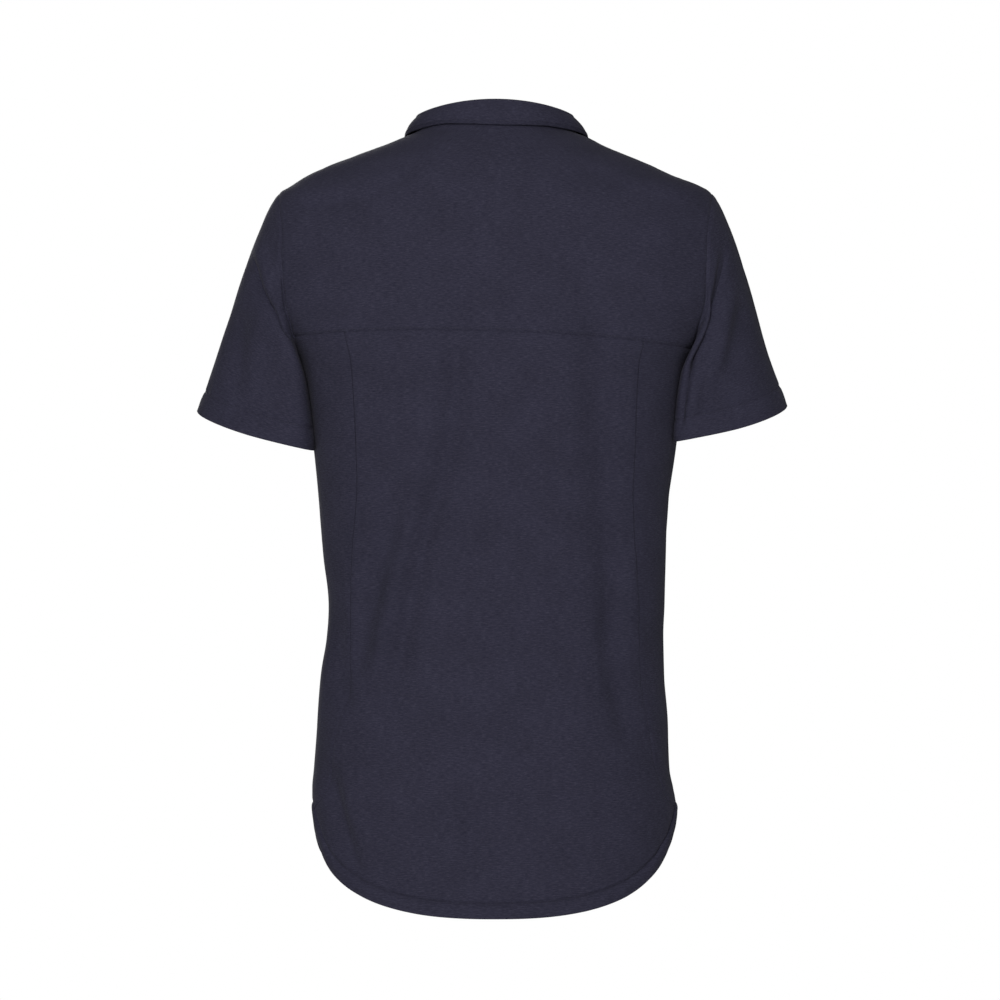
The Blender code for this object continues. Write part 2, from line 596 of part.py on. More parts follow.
def plain_sleeve(turn, along, side):
    """A point of the sleeve before its folds: along is 0 at the armhole and 1 at the cuff."""
    mirror = np.array([side, 1.0, 1.0])
    top_share = ((1 + np.cos(turn)) / 2)[..., None]
    angle, z = armhole(turn, side)
    outset = SLEEVE_OUTSET_FOOT + (SLEEVE_OUTSET_TOP - SLEEVE_OUTSET_FOOT) * top_share
    start = body(angle, z) + outset * np.array([side, 0.0, 0.0])
    middle, across, through = (np.array(v) for v in CUFFS[side])
    end = (middle + across * np.cos(turn)[..., None] + through * np.sin(turn)[..., None]) * mirror
    leave = (np.array(LEAVE_FOOT) + (np.array(LEAVE_TOP) - np.array(LEAVE_FOOT)) * top_share) * mirror
    reach = (np.array(REACH_FOOT) + (np.array(REACH_TOP) - np.array(REACH_FOOT)) * top_share) * mirror
    t = along[..., None]
    return (
        start * (1 + 2 * t) * (1 - t) ** 2
        + leave * t * (1 - t) ** 2
        + end * t * t * (3 - 2 * t)
        + reach * t * t * (t - 1)
    )


def sleeve(turn, along, side):
    place = plain_sleeve(turn, along, side)
    step = 0.01
    around = plain_sleeve(turn + step, along, side) - plain_sleeve(turn - step, along, side)
    low, high = np.clip(along - step, 0, 1), np.clip(along + step, 0, 1)
    down = plain_sleeve(turn, high, side) - plain_sleeve(turn, low, side)
    normal = np.cross(down, around) * side
    normal /= np.linalg.norm(normal, axis=-1, keepdims=True)
    moved = fold_height(SLEEVE_FOLDS[side], place[..., 0], place[..., 2], normal[..., 1])
    moved *= smooth_step(along / 0.12)
    return place + normal * moved[..., None]


def sleeve_shell(side):
    turns = sleeve_turns(side)
    along = np.linspace(0, 1, SLEEVE_ROWS + 1)
    turn_grid, along_grid = np.meshgrid(turns, along)
    grid = sleeve(turn_grid, along_grid, side)
    grid[:, -1] = grid[:, 0]
    shell = Shell()
    shell.add(grid, flip=side < 0)
    return shell


# ---- collar --------------------------------------------------------------------------------------------
def out_of_neck(turn):
    """Level direction out of the neck ring, for a signed turn."""
    return np.stack([np.sin(turn), np.cos(turn), np.zeros_like(turn)], -1)


def neck_point(turn):
    x, z = neckline(np.abs(turn))
    behind = np.cos(turn) >= 0
    x = np.sign(turn) * np.maximum(x, 1e-9)
    angle = np.where(behind, angle_at_x(x, z, True), angle_at_x(x, z, False))
    return plain_body(angle, z)


def stand_frame(turn):
    """Foot of the stand, and the rise from it to the stand's top, for a signed turn."""
    inside = np.clip(np.abs(turn), 0, math.pi) * np.sign(turn)
    foot = neck_point(inside)
    side_share = np.sin(turn) ** 2
    end_height = np.where(np.cos(turn) > 0, STAND_HEIGHT_BACK, STAND_HEIGHT_FRONT)
    height = end_height + (STAND_HEIGHT_SIDE - end_height) * side_share
    end_lean = np.where(np.cos(turn) > 0, STAND_LEAN_BACK, STAND_LEAN_FRONT)
    lean = end_lean + (STAND_LEAN_SIDE - end_lean) * side_share
    rise = -out_of_neck(inside) * lean[..., None]
    rise[..., 2] += height
    return foot, rise


def stand_points(turns):
    """Points of the stand: it turns past the centre front at both ends, the left one outside."""
    foot, rise = stand_frame(turns)
    past = np.abs(turns) - math.pi
    overrun = np.clip(past, 0, None) * NECK_HALF_WIDTH
    foot[:, 0] = np.where(past > 0, -np.sign(turns) * overrun, foot[:, 0])
    step = STAND_STEP * smooth_step((np.abs(turns) - 2.4) / 0.5) * np.sign(turns)
    foot += np.array([0.0, -1.0, 0.0]) * step[:, None]
    foot[:, 2] += SEAM_GAP + CLOTH / 2
    share = np.linspace(0, 1, STAND_ROWS + 1)[:, None, None]
    return foot[None] + rise[None] * share


def collar_turns():
    """Turns round the neck that the stand and the fall share, from the centre back to the fall's end."""
    return np.linspace(0, math.pi - FALL_FRONT_GAP / NECK_HALF_WIDTH, COLLAR_HALF_COLUMNS + 1)


def stand_grid():
    half = np.concatenate([collar_turns()[1:], [math.pi, math.pi + STAND_OVERLAP / NECK_HALF_WIDTH]])
    return stand_points(np.concatenate([-half[::-1], [0.0], half]))


def height_on_body(x, y):
    """Height at which the upper body surface passes over a place seen from above."""
    low, high = np.full_like(x, -0.118), np.full_like(x, 0.022)
    for _ in range(40):
        middle = (low + high) / 2
        half = np.where(x >= 0, section("left", middle), section("right", middle))
        depth = np.where(y >= 0, section("back", middle), section("front", middle))
        square = section("square", middle)
        outside = np.abs(x / half) ** square + np.abs(y / depth) ** square > 1
        low, high = np.where(outside, low, middle), np.where(outside, middle, high)
    return (low + high) / 2


def fall_edge(turn, side):
    """Points on the outer edge of the fall, for turns round the neck from 0 at the centre back."""
    turns = np.radians(column(FALL_EDGE, FALL_EDGE_COLUMNS, "turn"))
    bearing = np.radians(monotone(turns, column(FALL_EDGE, FALL_EDGE_COLUMNS, "bearing"), turn))
    reach = monotone(turns, column(FALL_EDGE, FALL_EDGE_COLUMNS, "reach"), turn)
    x, y = side * reach * np.sin(bearing) + FALL_SHIFT, reach * np.cos(bearing)
    z = height_on_body(x, y)
    half = np.where(x >= 0, section("left", z), section("right", z))
    depth = np.where(y >= 0, section("back", z), section("front", z))
    angle = np.arctan2(x / half, y / depth)
    return plain_body(angle, z) + body_normal(angle, z) * FALL_LIFT


def fall_grid(side):
    """Points of half the fall: over the roll at the top of the stand, then down to its edge."""
    turns = collar_turns() * side
    top = stand_points(turns)[-1]
    top[:, 2] += ROLL_GAP
    outward = out_of_neck(turns)
    edge = fall_edge(np.abs(turns), side)
    rows = []
    for angle in np.linspace(0, math.pi, ROLL_ROWS + 1):
        point = top + outward * ROLL_RADIUS * (1 - math.cos(angle))
        point[:, 2] += ROLL_RISE * min(1.0, 2 * angle / math.pi) + ROLL_RADIUS * math.sin(angle)
        rows.append(point)
    start = rows[-1]
    for step in np.linspace(0, 1, FALL_ROWS + 1)[1:]:
        point = start + (edge - start) * step
        bulge = 0.0022 * math.sin(math.pi * step)
        rows.append(point + outward * bulge)
    return np.stack(rows)


def collar_shells():
    stand = Shell()
    stand.add(stand_grid())
    fall = Shell()
    for side in (1, -1):
        fall.add(fall_grid(side), flip=side > 0)
    return stand, fall


# ---- placket and buttons -------------------------------------------------------------------------------
def band_shell(lift):
    """A placket band: a strip of the front's own surface, moved out by lift."""
    z = np.linspace(NECK_FRONT_Z - BAND_TOP_GAP, BAND_FOOT_Z, BAND_ROWS + 1)
    x = np.linspace(-BAND_HALF_WIDTH, BAND_HALF_WIDTH, 2 * BAND_COLUMNS + 1)
    x_grid, z_grid = np.meshgrid(x, z)
    x_grid = np.where(np.abs(x_grid) < 1e-9, 1e-9, x_grid)
    shell = Shell()
    shell.add(body(angle_at_x(x_grid, z_grid, False), z_grid, lift))
    return shell


def button(name, place, outward, finish, collection):
    """A turned four-hole button whose back lies on the point place and whose face looks outward."""
    height, radius, rim = BUTTON_HEIGHT, BUTTON_RADIUS, BUTTON_RIM
    profile = (
        (0.0, height - rim),
        (radius * 0.62, height - rim),
        (radius * 0.72, height),
        (radius * 0.90, height),
        (radius, height - rim),
        (radius, rim),
        (radius * 0.85, 0.0),
        (0.0, 0.0),
    )
    mesh = bpy.data.meshes.new(name)
    mesh.from_pydata([(r, 0.0, h) for r, h in profile], [(i, i + 1) for i in range(len(profile) - 1)], [])
    disc = bpy.data.objects.new(name, mesh)
    collection.objects.link(disc)
    turn = disc.modifiers.new("turn", "SCREW")
    turn.steps = turn.render_steps = BUTTON_SIDES
    turn.use_merge_vertices = True
    turn.merge_threshold = 0.00001
    cutters = bpy.data.collections["cutters"]
    for k in range(4):
        a = math.pi / 4 + k * math.pi / 2
        bpy.ops.mesh.primitive_cylinder_add(
            vertices=HOLE_SIDES,
            radius=BUTTON_HOLE_RADIUS,
            depth=4 * height,
            location=(BUTTON_HOLE_OFFSET * math.cos(a), BUTTON_HOLE_OFFSET * math.sin(a), height / 2),
        )
        hole = bpy.context.object
        hole.name = f"{name}_hole_{k + 1}"
        for owner in list(hole.users_collection):
            owner.objects.unlink(hole)
        cutters.objects.link(hole)
        hole.hide_render = True
        hole.display_type = "WIRE"
        hole.parent = disc
        cut = disc.modifiers.new(f"hole_{k + 1}", "BOOLEAN")
        cut.operation = "DIFFERENCE"
        cut.object = hole
    mesh.materials.append(finish)
    up = np.array(outward, float) / np.linalg.norm(outward)
    level = np.array([1.0, 0.0, 0.0])
    level -= up * level.dot(up)
    level /= np.linalg.norm(level)
    other = np.cross(up, level)
    turn_matrix = [[level[i], other[i], up[i], place[i]] for i in range(3)] + [[0, 0, 0, 1]]
    disc.matrix_world = turn_matrix_to_blender(turn_matrix)
    return disc


def turn_matrix_to_blender(rows):
    from mathutils import Matrix

    return Matrix([[float(v) for v in row] for row in rows])


# ---- the whole shirt -----------------------------------------------------------------------------------
def main():
    for old in list(bpy.data.objects):
        bpy.data.objects.remove(old)
    shirt = bpy.data.collections.new("polo_shirt")
    cutters = bpy.data.collections.new("cutters")
    for made in (shirt, cutters):
        bpy.context.scene.collection.children.link(made)
    jersey = material("jersey", NAVY, 0.85)
    plastic = material("button_plastic", BUTTON_NAVY, 0.35)

    cloth_object("back_yoke", yoke_shell(), CLOTH, jersey, shirt)
    cloth_object("back", back_shell(), CLOTH, jersey, shirt)
    cloth_object("front", front_shell(), CLOTH, jersey, shirt)
    cloth_object("sleeve_left", sleeve_shell(1), CLOTH, jersey, shirt)
    cloth_object("sleeve_right", sleeve_shell(-1), CLOTH, jersey, shirt)
    stand, fall = collar_shells()
    cloth_object("collar_stand", stand, COLLAR_CLOTH, jersey, shirt)
    cloth_object("collar_fall", fall, COLLAR_CLOTH, jersey, shirt)

    lift = CLOTH / 2 + SEAM_GAP + BAND_CLOTH / 2
    cloth_object("placket_over", band_shell(lift), BAND_CLOTH, jersey, shirt)
    cloth_object("placket_under", band_shell(-lift), BAND_CLOTH, jersey, shirt)
    on_band = lift + BAND_CLOTH / 2 + SEAM_GAP
    for k, z in enumerate(BUTTON_HEIGHTS):
        height = np.array(z)
        place = body(math.pi, height, on_band)
        outward = body_normal(np.array(math.pi), height)
        button(f"button_placket_{k + 1}", place, outward, plastic, shirt)
    grid = stand_points(np.array([math.pi]))[:, 0]
    outward = np.cross(grid[-1] - grid[0], np.array([-1.0, 0.0, 0.0]))
    outward /= np.linalg.norm(outward)
    place = (grid[0] + grid[-1]) / 2 + outward * (COLLAR_CLOTH / 2 + BUTTON_STAND_GAP)
    button("button_stand", place, outward, plastic, shirt)


main()
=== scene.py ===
import math

import bpy
import numpy as np
from mathutils import Matrix, Vector


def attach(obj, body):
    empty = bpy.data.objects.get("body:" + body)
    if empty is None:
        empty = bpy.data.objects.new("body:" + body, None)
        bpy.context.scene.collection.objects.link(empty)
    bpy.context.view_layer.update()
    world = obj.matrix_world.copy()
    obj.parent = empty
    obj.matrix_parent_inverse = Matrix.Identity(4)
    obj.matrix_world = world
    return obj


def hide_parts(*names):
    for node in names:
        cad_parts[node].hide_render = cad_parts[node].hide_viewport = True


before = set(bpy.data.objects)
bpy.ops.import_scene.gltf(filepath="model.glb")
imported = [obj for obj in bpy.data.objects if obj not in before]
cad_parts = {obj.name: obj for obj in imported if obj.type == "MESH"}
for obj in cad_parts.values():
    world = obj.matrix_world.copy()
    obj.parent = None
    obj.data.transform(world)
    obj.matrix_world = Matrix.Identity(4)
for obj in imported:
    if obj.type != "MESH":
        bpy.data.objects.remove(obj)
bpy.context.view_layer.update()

print("frame loaded with", len(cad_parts), "nodes")

# The shirt is a worn form in metres, +Z up, the front facing -Y and the wearer's left on +X. A place on the
# body cloth is an angle and a height: the angle runs from the centre back (0) over the left side (a quarter
# turn) to the centre front (half a turn), and it is negative on the wearer's right.

# sizes shared by the panels
bodyCut = {
    "wall": 0.0012,  # cloth of the plain solids, which sets where pieces rest on each other
    "cloth": 0.0010,  # jersey as it shows
    "seamGap": 0.0003,
    "panelGap": 0.0006,
    "backTail": -0.7248,
    "frontTail": -0.716,
    "ventTop": -0.623,
    "ventAngle": math.radians(84),
    "ventRounding": 0.03,
    "hemSquare": 2.4,
    "hemFullness": 4.0,
    "tailTurn": 1.2,  # where the back tail's height starts to become the front's, and over how much
    "tailWidth": 0.75,
    "hemDepth": 0.0130,  # turned up and stitched
    "hemExtra": 0.0009,  # the hem is thicker by this, inside
    "hemExtraEdge": (0.0006, 0.0012),  # past the stitching, and how fast it comes
    "rimShare": 0.42,  # how round a cut edge is
    "shoulderRadius": 0.07,  # from the neck's middle line, for the seam gap over the shoulder
    "yokeSeam": (-0.1858, 0.0306, -0.256),  # height at the centre, tilt, sag
    "yokeReach": 0.97,  # share of the half width that the relief beside that seam covers
    "foldIn": 0.0030,  # seam allowance turned to the inside
    "foldBack": 0.4,  # how much of that it runs back under the panel
}

# height, half width left and right, depth behind and in front, squareness
bodySections = (
    (0.0220, 0.0610, 0.0610, 0.0480, 0.0380, 2.00),
    (0.0040, 0.0745, 0.0745, 0.0580, 0.0440, 2.00),
    (-0.0030, 0.0905, 0.0895, 0.0635, 0.0475, 2.00),
    (-0.0085, 0.1040, 0.1005, 0.0675, 0.0505, 2.02),
    (-0.0160, 0.1230, 0.1185, 0.0720, 0.0545, 2.05),
    (-0.0235, 0.1435, 0.1365, 0.0765, 0.0585, 2.08),
    (-0.0310, 0.1630, 0.1535, 0.0805, 0.0620, 2.10),
    (-0.0385, 0.1785, 0.1705, 0.0840, 0.0660, 2.12),
    (-0.0460, 0.1900, 0.1905, 0.0870, 0.0700, 2.15),
    (-0.0545, 0.2020, 0.2030, 0.0900, 0.0745, 2.20),
    (-0.0800, 0.2160, 0.2160, 0.0970, 0.0870, 2.30),
    (-0.1150, 0.2250, 0.2230, 0.1045, 0.1020, 2.40),
    (-0.1500, 0.2180, 0.2170, 0.1095, 0.1155, 2.50),
    (-0.1800, 0.2000, 0.1995, 0.1120, 0.1240, 2.60),
    (-0.2000, 0.1885, 0.1880, 0.1125, 0.1280, 2.62),
    (-0.2155, 0.1815, 0.1810, 0.1120, 0.1300, 2.60),
    (-0.2500, 0.1750, 0.1745, 0.1095, 0.1315, 2.55),
    (-0.2950, 0.1700, 0.1695, 0.1055, 0.1300, 2.50),
    (-0.3400, 0.1655, 0.1630, 0.1005, 0.1260, 2.45),
    (-0.3940, 0.1608, 0.1602, 0.0950, 0.1195, 2.40),
    (-0.4390, 0.1560, 0.1590, 0.0920, 0.1150, 2.35),
    (-0.4700, 0.1580, 0.1575, 0.0925, 0.1130, 2.35),
    (-0.5050, 0.1635, 0.1580, 0.0950, 0.1125, 2.35),
    (-0.5500, 0.1670, 0.1622, 0.0995, 0.1135, 2.35),
    (-0.5950, 0.1700, 0.1640, 0.1040, 0.1155, 2.35),
    (-0.6100, 0.1712, 0.1670, 0.1055, 0.1160, 2.38),
    (-0.6300, 0.1702, 0.1700, 0.1070, 0.1165, 2.40),
    (-0.6600, 0.1680, 0.1668, 0.1090, 0.1175, 2.40),
    (-0.7000, 0.1665, 0.1640, 0.1105, 0.1180, 2.40),
    (-0.7400, 0.1660, 0.1630, 0.1115, 0.1180, 2.40),
)

# side seams: height, distance from the centre back line on the left and on the right
sideSeams = (
    (-0.180, 0.1410, 0.1410),
    (-0.240, 0.1310, 0.1315),
    (-0.318, 0.1275, 0.1285),
    (-0.387, 0.1325, 0.1310),
    (-0.451, 0.1365, 0.1350),
    (-0.485, 0.1380, 0.1370),
    (-0.510, 0.1360, 0.1390),
    (-0.540, 0.1430, 0.1420),
    (-0.575, 0.1510, 0.1475),
    (-0.600, 0.1560, 0.1530),
    (-0.618, 0.1625, 0.1605),
)

armholeCut = {"top": -0.0545, "foot": -0.2155, "back": 0.0620, "front": 0.0590}
neckCut = {"halfWidth": 0.0745, "side": 0.0040, "back": 0.0125, "front": -0.0780}

# Large folds: behind (1) or in front (-1), rise of the cloth, half width, path from top to foot as (x, z)
bodyFolds = (
    (1, -0.0045, 0.015, ((0.022, -0.090), (0.035, -0.150), (0.038, -0.250), (0.052, -0.322),
                         (0.068, -0.380), (0.080, -0.450), (0.100, -0.535), (0.118, -0.605))),
    (1, 0.0030, 0.014, ((0.060, -0.300), (0.082, -0.370), (0.100, -0.440), (0.114, -0.520))),
    (1, -0.0055, 0.013, ((0.080, -0.310), (0.096, -0.365), (0.112, -0.425), (0.126, -0.480),
                         (0.130, -0.530))),
    (1, -0.0050, 0.019, ((-0.074, -0.070), (-0.092, -0.180), (-0.098, -0.290), (-0.109, -0.400),
                         (-0.114, -0.490), (-0.126, -0.550), (-0.142, -0.610))),
    (1, 0.0020, 0.020, ((-0.044, -0.110), (-0.060, -0.230), (-0.067, -0.340), (-0.076, -0.450),
                        (-0.084, -0.560))),
    (1, -0.0040, 0.012, ((0.005, -0.605), (0.020, -0.645), (0.034, -0.700))),
    (1, -0.0040, 0.011, ((0.158, -0.570), (0.150, -0.625), (0.134, -0.685))),
    (-1, -0.0045, 0.016, ((0.060, -0.150), (0.072, -0.260), (0.088, -0.390), (0.112, -0.520))),
    (-1, -0.0050, 0.017, ((-0.050, -0.230), (-0.066, -0.340), (-0.090, -0.460), (-0.120, -0.570))),
    (-1, 0.0035, 0.018, ((0.030, -0.300), (0.040, -0.420), (0.058, -0.560), (0.066, -0.660))),
)
sleeveFolds = {
    1: (
        (1, -0.0050, 0.006, ((0.2290, -0.112), (0.2235, -0.130), (0.2170, -0.150), (0.2070, -0.170),
                             (0.1960, -0.188))),
        (1, 0.0035, 0.009, ((0.2200, -0.090), (0.2150, -0.120), (0.2070, -0.145), (0.1980, -0.165))),
        (1, -0.0025, 0.010, ((0.2380, -0.150), (0.2400, -0.200), (0.2400, -0.250))),
        (-1, -0.0040, 0.009, ((0.2200, -0.110), (0.2100, -0.150), (0.1950, -0.190))),
    ),
    -1: (
        (1, -0.0060, 0.007, ((-0.2160, -0.110), (-0.2120, -0.145), (-0.2030, -0.175), (-0.1920, -0.205),
                             (-0.1820, -0.240))),
        (1, 0.0035, 0.008, ((-0.2230, -0.130), (-0.2170, -0.170), (-0.2080, -0.205), (-0.2000, -0.245))),
        (1, -0.0030, 0.010, ((-0.2290, -0.150), (-0.2270, -0.190), (-0.2230, -0.230))),
        (-1, -0.0040, 0.010, ((-0.2180, -0.110), (-0.2080, -0.150), (-0.1930, -0.195))),
    ),
}

# Small creases: facing, rise, half width, lean (a ridge beside the trough), path as seen from straight behind
# by the camera, or plain (x, z) in front
bodyCreases = (
    (1, -0.0034, 0.0120, 0.2, ((0.028, -0.134), (0.036, -0.190), (0.037, -0.257), (0.045, -0.313),
                               (0.063, -0.365), (0.077, -0.425), (0.088, -0.480), (0.099, -0.525),
                               (0.112, -0.575))),
    (1, -0.0028, 0.0140, 0.2, ((0.080, -0.318), (0.094, -0.365), (0.110, -0.407), (0.118, -0.449),
                               (0.127, -0.487), (0.134, -0.530))),
    (1, 0.0012, 0.0090, 0.0, ((0.074, -0.360), (0.090, -0.410), (0.101, -0.460), (0.112, -0.515))),
    (1, -0.0045, 0.0090, -0.2, ((0.147, -0.430), (0.150, -0.475), (0.147, -0.510), (0.138, -0.550))),
    (1, -0.0010, 0.0120, -0.2, ((-0.076, -0.083), (-0.083, -0.116), (-0.090, -0.158), (-0.096, -0.209),
                                (-0.101, -0.257), (-0.104, -0.320), (-0.107, -0.370))),
    (1, -0.0030, 0.0130, -0.2, ((-0.110, -0.430), (-0.112, -0.480), (-0.118, -0.540), (-0.124, -0.590))),
    (1, 0.0024, 0.0080, 0.0, ((-0.128, -0.380), (-0.128, -0.430), (-0.127, -0.470))),
    (1, -0.0012, 0.0090, -0.4, ((-0.094, -0.355), (-0.103, -0.407), (-0.103, -0.496), (-0.117, -0.543),
                                (-0.133, -0.581))),
    (1, -0.0020, 0.0110, 0.2, ((-0.128, -0.480), (-0.143, -0.510), (-0.146, -0.545))),
    (1, -0.0014, 0.0080, 0.2, ((-0.134, -0.560), (-0.146, -0.578), (-0.152, -0.600))),
    (1, -0.0032, 0.0075, 0.3, ((0.154, -0.595), (0.148, -0.628), (0.136, -0.665), (0.124, -0.700))),
    (1, -0.0022, 0.0050, 0.2, ((0.042, -0.640), (0.050, -0.668), (0.060, -0.700))),
    (1, -0.0020, 0.0055, 0.2, ((0.030, -0.622), (0.024, -0.660), (0.019, -0.698))),
    (1, -0.0016, 0.0050, 0.2, ((0.010, -0.640), (0.006, -0.672), (-0.004, -0.700))),
    (1, -0.0018, 0.0060, -0.2, ((-0.060, -0.655), (-0.068, -0.676), (-0.084, -0.694))),
    (1, -0.0026, 0.0080, 0.3, ((0.198, -0.070), (0.165, -0.060), (0.120, -0.052), (0.085, -0.032),
                               (0.062, -0.012))),
    (1, -0.0014, 0.0070, 0.2, ((-0.196, -0.068), (-0.150, -0.058), (-0.110, -0.044), (-0.074, -0.024))),
    (1, 0.0012, 0.0060, 0.0, ((0.155, -0.446), (0.161, -0.500), (0.167, -0.562))),
    (1, -0.0009, 0.0060, 0.0, ((-0.020, -0.300), (-0.026, -0.380), (-0.030, -0.460))),
    (1, -0.0022, 0.0110, 0.2, ((0.020, -0.040), (0.014, -0.090), (0.018, -0.150), (0.024, -0.205))),
    (1, -0.0016, 0.0090, 0.2, ((-0.014, -0.070), (-0.018, -0.130), (-0.016, -0.190))),
    (1, -0.0022, 0.0120, 0.0, ((-0.146, -0.440), (-0.148, -0.480), (-0.150, -0.530))),
    (-1, -0.0012, 0.0060, 0.3, ((0.120, -0.180), (0.108, -0.240), (0.104, -0.310))),
    (-1, -0.0012, 0.0070, 0.3, ((-0.116, -0.190), (-0.104, -0.250), (-0.098, -0.330))),
    (-1, -0.0010, 0.0060, 0.2, ((0.030, -0.560), (0.040, -0.620), (0.044, -0.690))),
    (-1, -0.0010, 0.0060, 0.2, ((-0.070, -0.600), (-0.066, -0.650), (-0.056, -0.700))),
    (-1, -0.0010, 0.0060, 0.3, ((0.186, -0.070), (0.140, -0.062), (0.100, -0.048))),
    (-1, -0.0010, 0.0060, 0.3, ((-0.186, -0.070), (-0.140, -0.064), (-0.098, -0.048))),
)
sleeveCreases = {
    1: (
        (1, -0.0026, 0.0022, -0.8, ((0.2265, -0.110), (0.2240, -0.130), (0.2175, -0.150), (0.2070, -0.170),
                                   (0.1965, -0.184), (0.1860, -0.196))),
        (1, 0.0018, 0.0070, 0.0, ((0.2190, -0.100), (0.2150, -0.125), (0.2080, -0.148), (0.1980, -0.166))),
        (1, -0.0008, 0.0035, 0.3, ((0.2120, -0.098), (0.2080, -0.125), (0.2000, -0.150), (0.1930, -0.168))),
        (1, -0.0012, 0.0080, 0.0, ((0.2140, -0.190), (0.2060, -0.215), (0.2010, -0.245))),
        (1, -0.0022, 0.0090, 0.0, ((0.2380, -0.158), (0.2420, -0.219), (0.2440, -0.257))),
        (-1, -0.0016, 0.0040, 0.6, ((0.2230, -0.118), (0.2130, -0.150), (0.1980, -0.180))),
    ),
    -1: (
        (1, -0.0036, 0.0036, 0.7, ((-0.2175, -0.096), (-0.2140, -0.130), (-0.2085, -0.158), (-0.2000, -0.182),
                                  (-0.1905, -0.206), (-0.1830, -0.232), (-0.1780, -0.256), (-0.1755, -0.285))),
        (1, 0.0019, 0.0045, 0.0, ((-0.2205, -0.120), (-0.2165, -0.150), (-0.2090, -0.176), (-0.2010, -0.194))),
        (1, -0.0032, 0.0026, 0.5, ((-0.2060, -0.185), (-0.1985, -0.191), (-0.1900, -0.203), (-0.1840, -0.222))),
        (1, 0.0012, 0.0040, 0.0, ((-0.1960, -0.215), (-0.1900, -0.240), (-0.1860, -0.265))),
        (1, -0.0010, 0.0070, 0.0, ((-0.2300, -0.130), (-0.2260, -0.170), (-0.2180, -0.225))),
        (-1, -0.0016, 0.0040, 0.6, ((-0.2200, -0.118), (-0.2110, -0.152), (-0.1960, -0.184))),
    ),
}

eye = {"place": (-0.0047, 4.5, -0.341), "width": 0.94}  # camera, and width seen in the plane of the side seams


def addObject(name, data):
    made = bpy.data.objects.new(name, data)
    bpy.context.scene.collection.objects.link(made)
    return made


def columnsOf(rows, names):
    return {name: np.array(values, float) for name, values in zip(names, zip(*rows))}


def unit(vectors):
    return vectors / np.linalg.norm(vectors, axis=-1, keepdims=True)


# lengths run along one axis of a grid of points
def arcs(grid, axis=0):
    lengths = np.linalg.norm(np.diff(grid, axis=axis), axis=-1)
    start = np.zeros_like(np.take(lengths, [0], axis))
    return np.cumsum(np.concatenate([start, lengths], axis), axis)


# a smooth curve through the points that never overshoots them, read at x
def monotone(xs, ys, x):
    order = np.argsort(xs)
    xs, ys = xs[order], ys[order]
    step = np.diff(xs)
    slope = np.diff(ys) / step
    together = np.where(slope[:-1] + slope[1:] == 0, 1, slope[:-1] + slope[1:])
    inner = np.where(slope[:-1] * slope[1:] > 0, 2 * slope[:-1] * slope[1:] / together, 0.0)
    tangent = np.concatenate([slope[:1], inner, slope[-1:]])
    x = np.clip(x, xs[0], xs[-1])
    k = np.clip(np.searchsorted(xs, x) - 1, 0, len(step) - 1)
    t = (x - xs[k]) / step[k]
    return (
        ys[k] * (1 + 2 * t) * (1 - t) ** 2
        + tangent[k] * step[k] * t * (1 - t) ** 2
        + ys[k + 1] * t * t * (3 - 2 * t)
        + tangent[k + 1] * step[k] * t * t * (t - 1)
    )


def smoothStep(value):
    t = np.clip(value, 0.0, 1.0)
    return t * t * (3 - 2 * t)


def smoothPath(points, count):
    points = np.array(points, float)
    reach = arcs(points)
    padded = np.vstack([2 * points[0] - points[1], points, 2 * points[-1] - points[-2]])
    where = np.linspace(0, reach[-1], count)
    k = np.clip(np.searchsorted(reach, where, side="right") - 1, 0, len(points) - 2)
    t = ((where - reach[k]) / (reach[k + 1] - reach[k]))[:, None]
    a, b, c, d = padded[k], padded[k + 1], padded[k + 2], padded[k + 3]
    return 0.5 * (2 * b + (c - a) * t + (2 * a - 5 * b + 4 * c - d) * t**2 + (3 * b - a - 3 * c + d) * t**3)


foldMake = {
    "steps": 30,  # pieces that a fold's path is read in
    "reach": 3,  # half widths over which it is felt
    "leaning": 1.6,
    "turnAway": 0.35,  # folds fade where the cloth turns away from their side
    "largeEnds": 0.3,  # share of the path over which it runs out
    "bodyEnds": 0.22,
    "sleeveEnds": 0.16,
}
noiseCells = 64
# points along the lines of the body, and cells round half of it and down it
readMake = {"seam": 500, "shoulder": 200, "hem": 1600, "round": 240, "down": 259, "heights": (-0.745, 0.022)}


# a soft bell of height 1
def bell(value, width):
    return np.exp(-((value / width) ** 2))


# how far a set of folds moves the cloth outwards at places (x, z)
def foldHeight(folds, x, z, facing, ends=foldMake["largeEnds"]):
    moved = np.zeros_like(x)
    for side, rise, halfWidth, *rest in folds:
        lean, points = (rest[0], rest[1]) if len(rest) == 2 else (0.0, rest[0])
        line = smoothPath(points, foldMake["steps"])
        reach = foldMake["reach"] * halfWidth
        low, high = line.min(0) - reach, line.max(0) + reach
        near = (x > low[0]) & (x < high[0]) & (z > low[1]) & (z < high[1]) & (side * facing > 0)
        if not near.any():
            continue
        start, run = line[:-1], np.diff(line, axis=0)
        away = np.stack([x[near], z[near]], -1)[:, None, :] - start
        share = np.clip((away * run).sum(-1) / (run * run).sum(-1), 0, 1)
        offset = away - share[..., None] * run
        distance = np.linalg.norm(offset, axis=-1)
        nearest = distance.argmin(-1)
        pick = (np.arange(len(nearest)), nearest)
        along = (nearest + share[pick]) / len(run)
        cross = run[nearest, 0] * offset[pick][:, 1] - run[nearest, 1] * offset[pick][:, 0]
        q = np.sign(cross) * distance[pick] / halfWidth
        taper = smoothStep(along / ends) * smoothStep((1 - along) / ends)
        shown = smoothStep((side * facing[near]) / foldMake["turnAway"])
        moved[near] += rise * taper * shown * np.exp(-q * q) * (1 + lean * foldMake["leaning"] * q)
    return moved


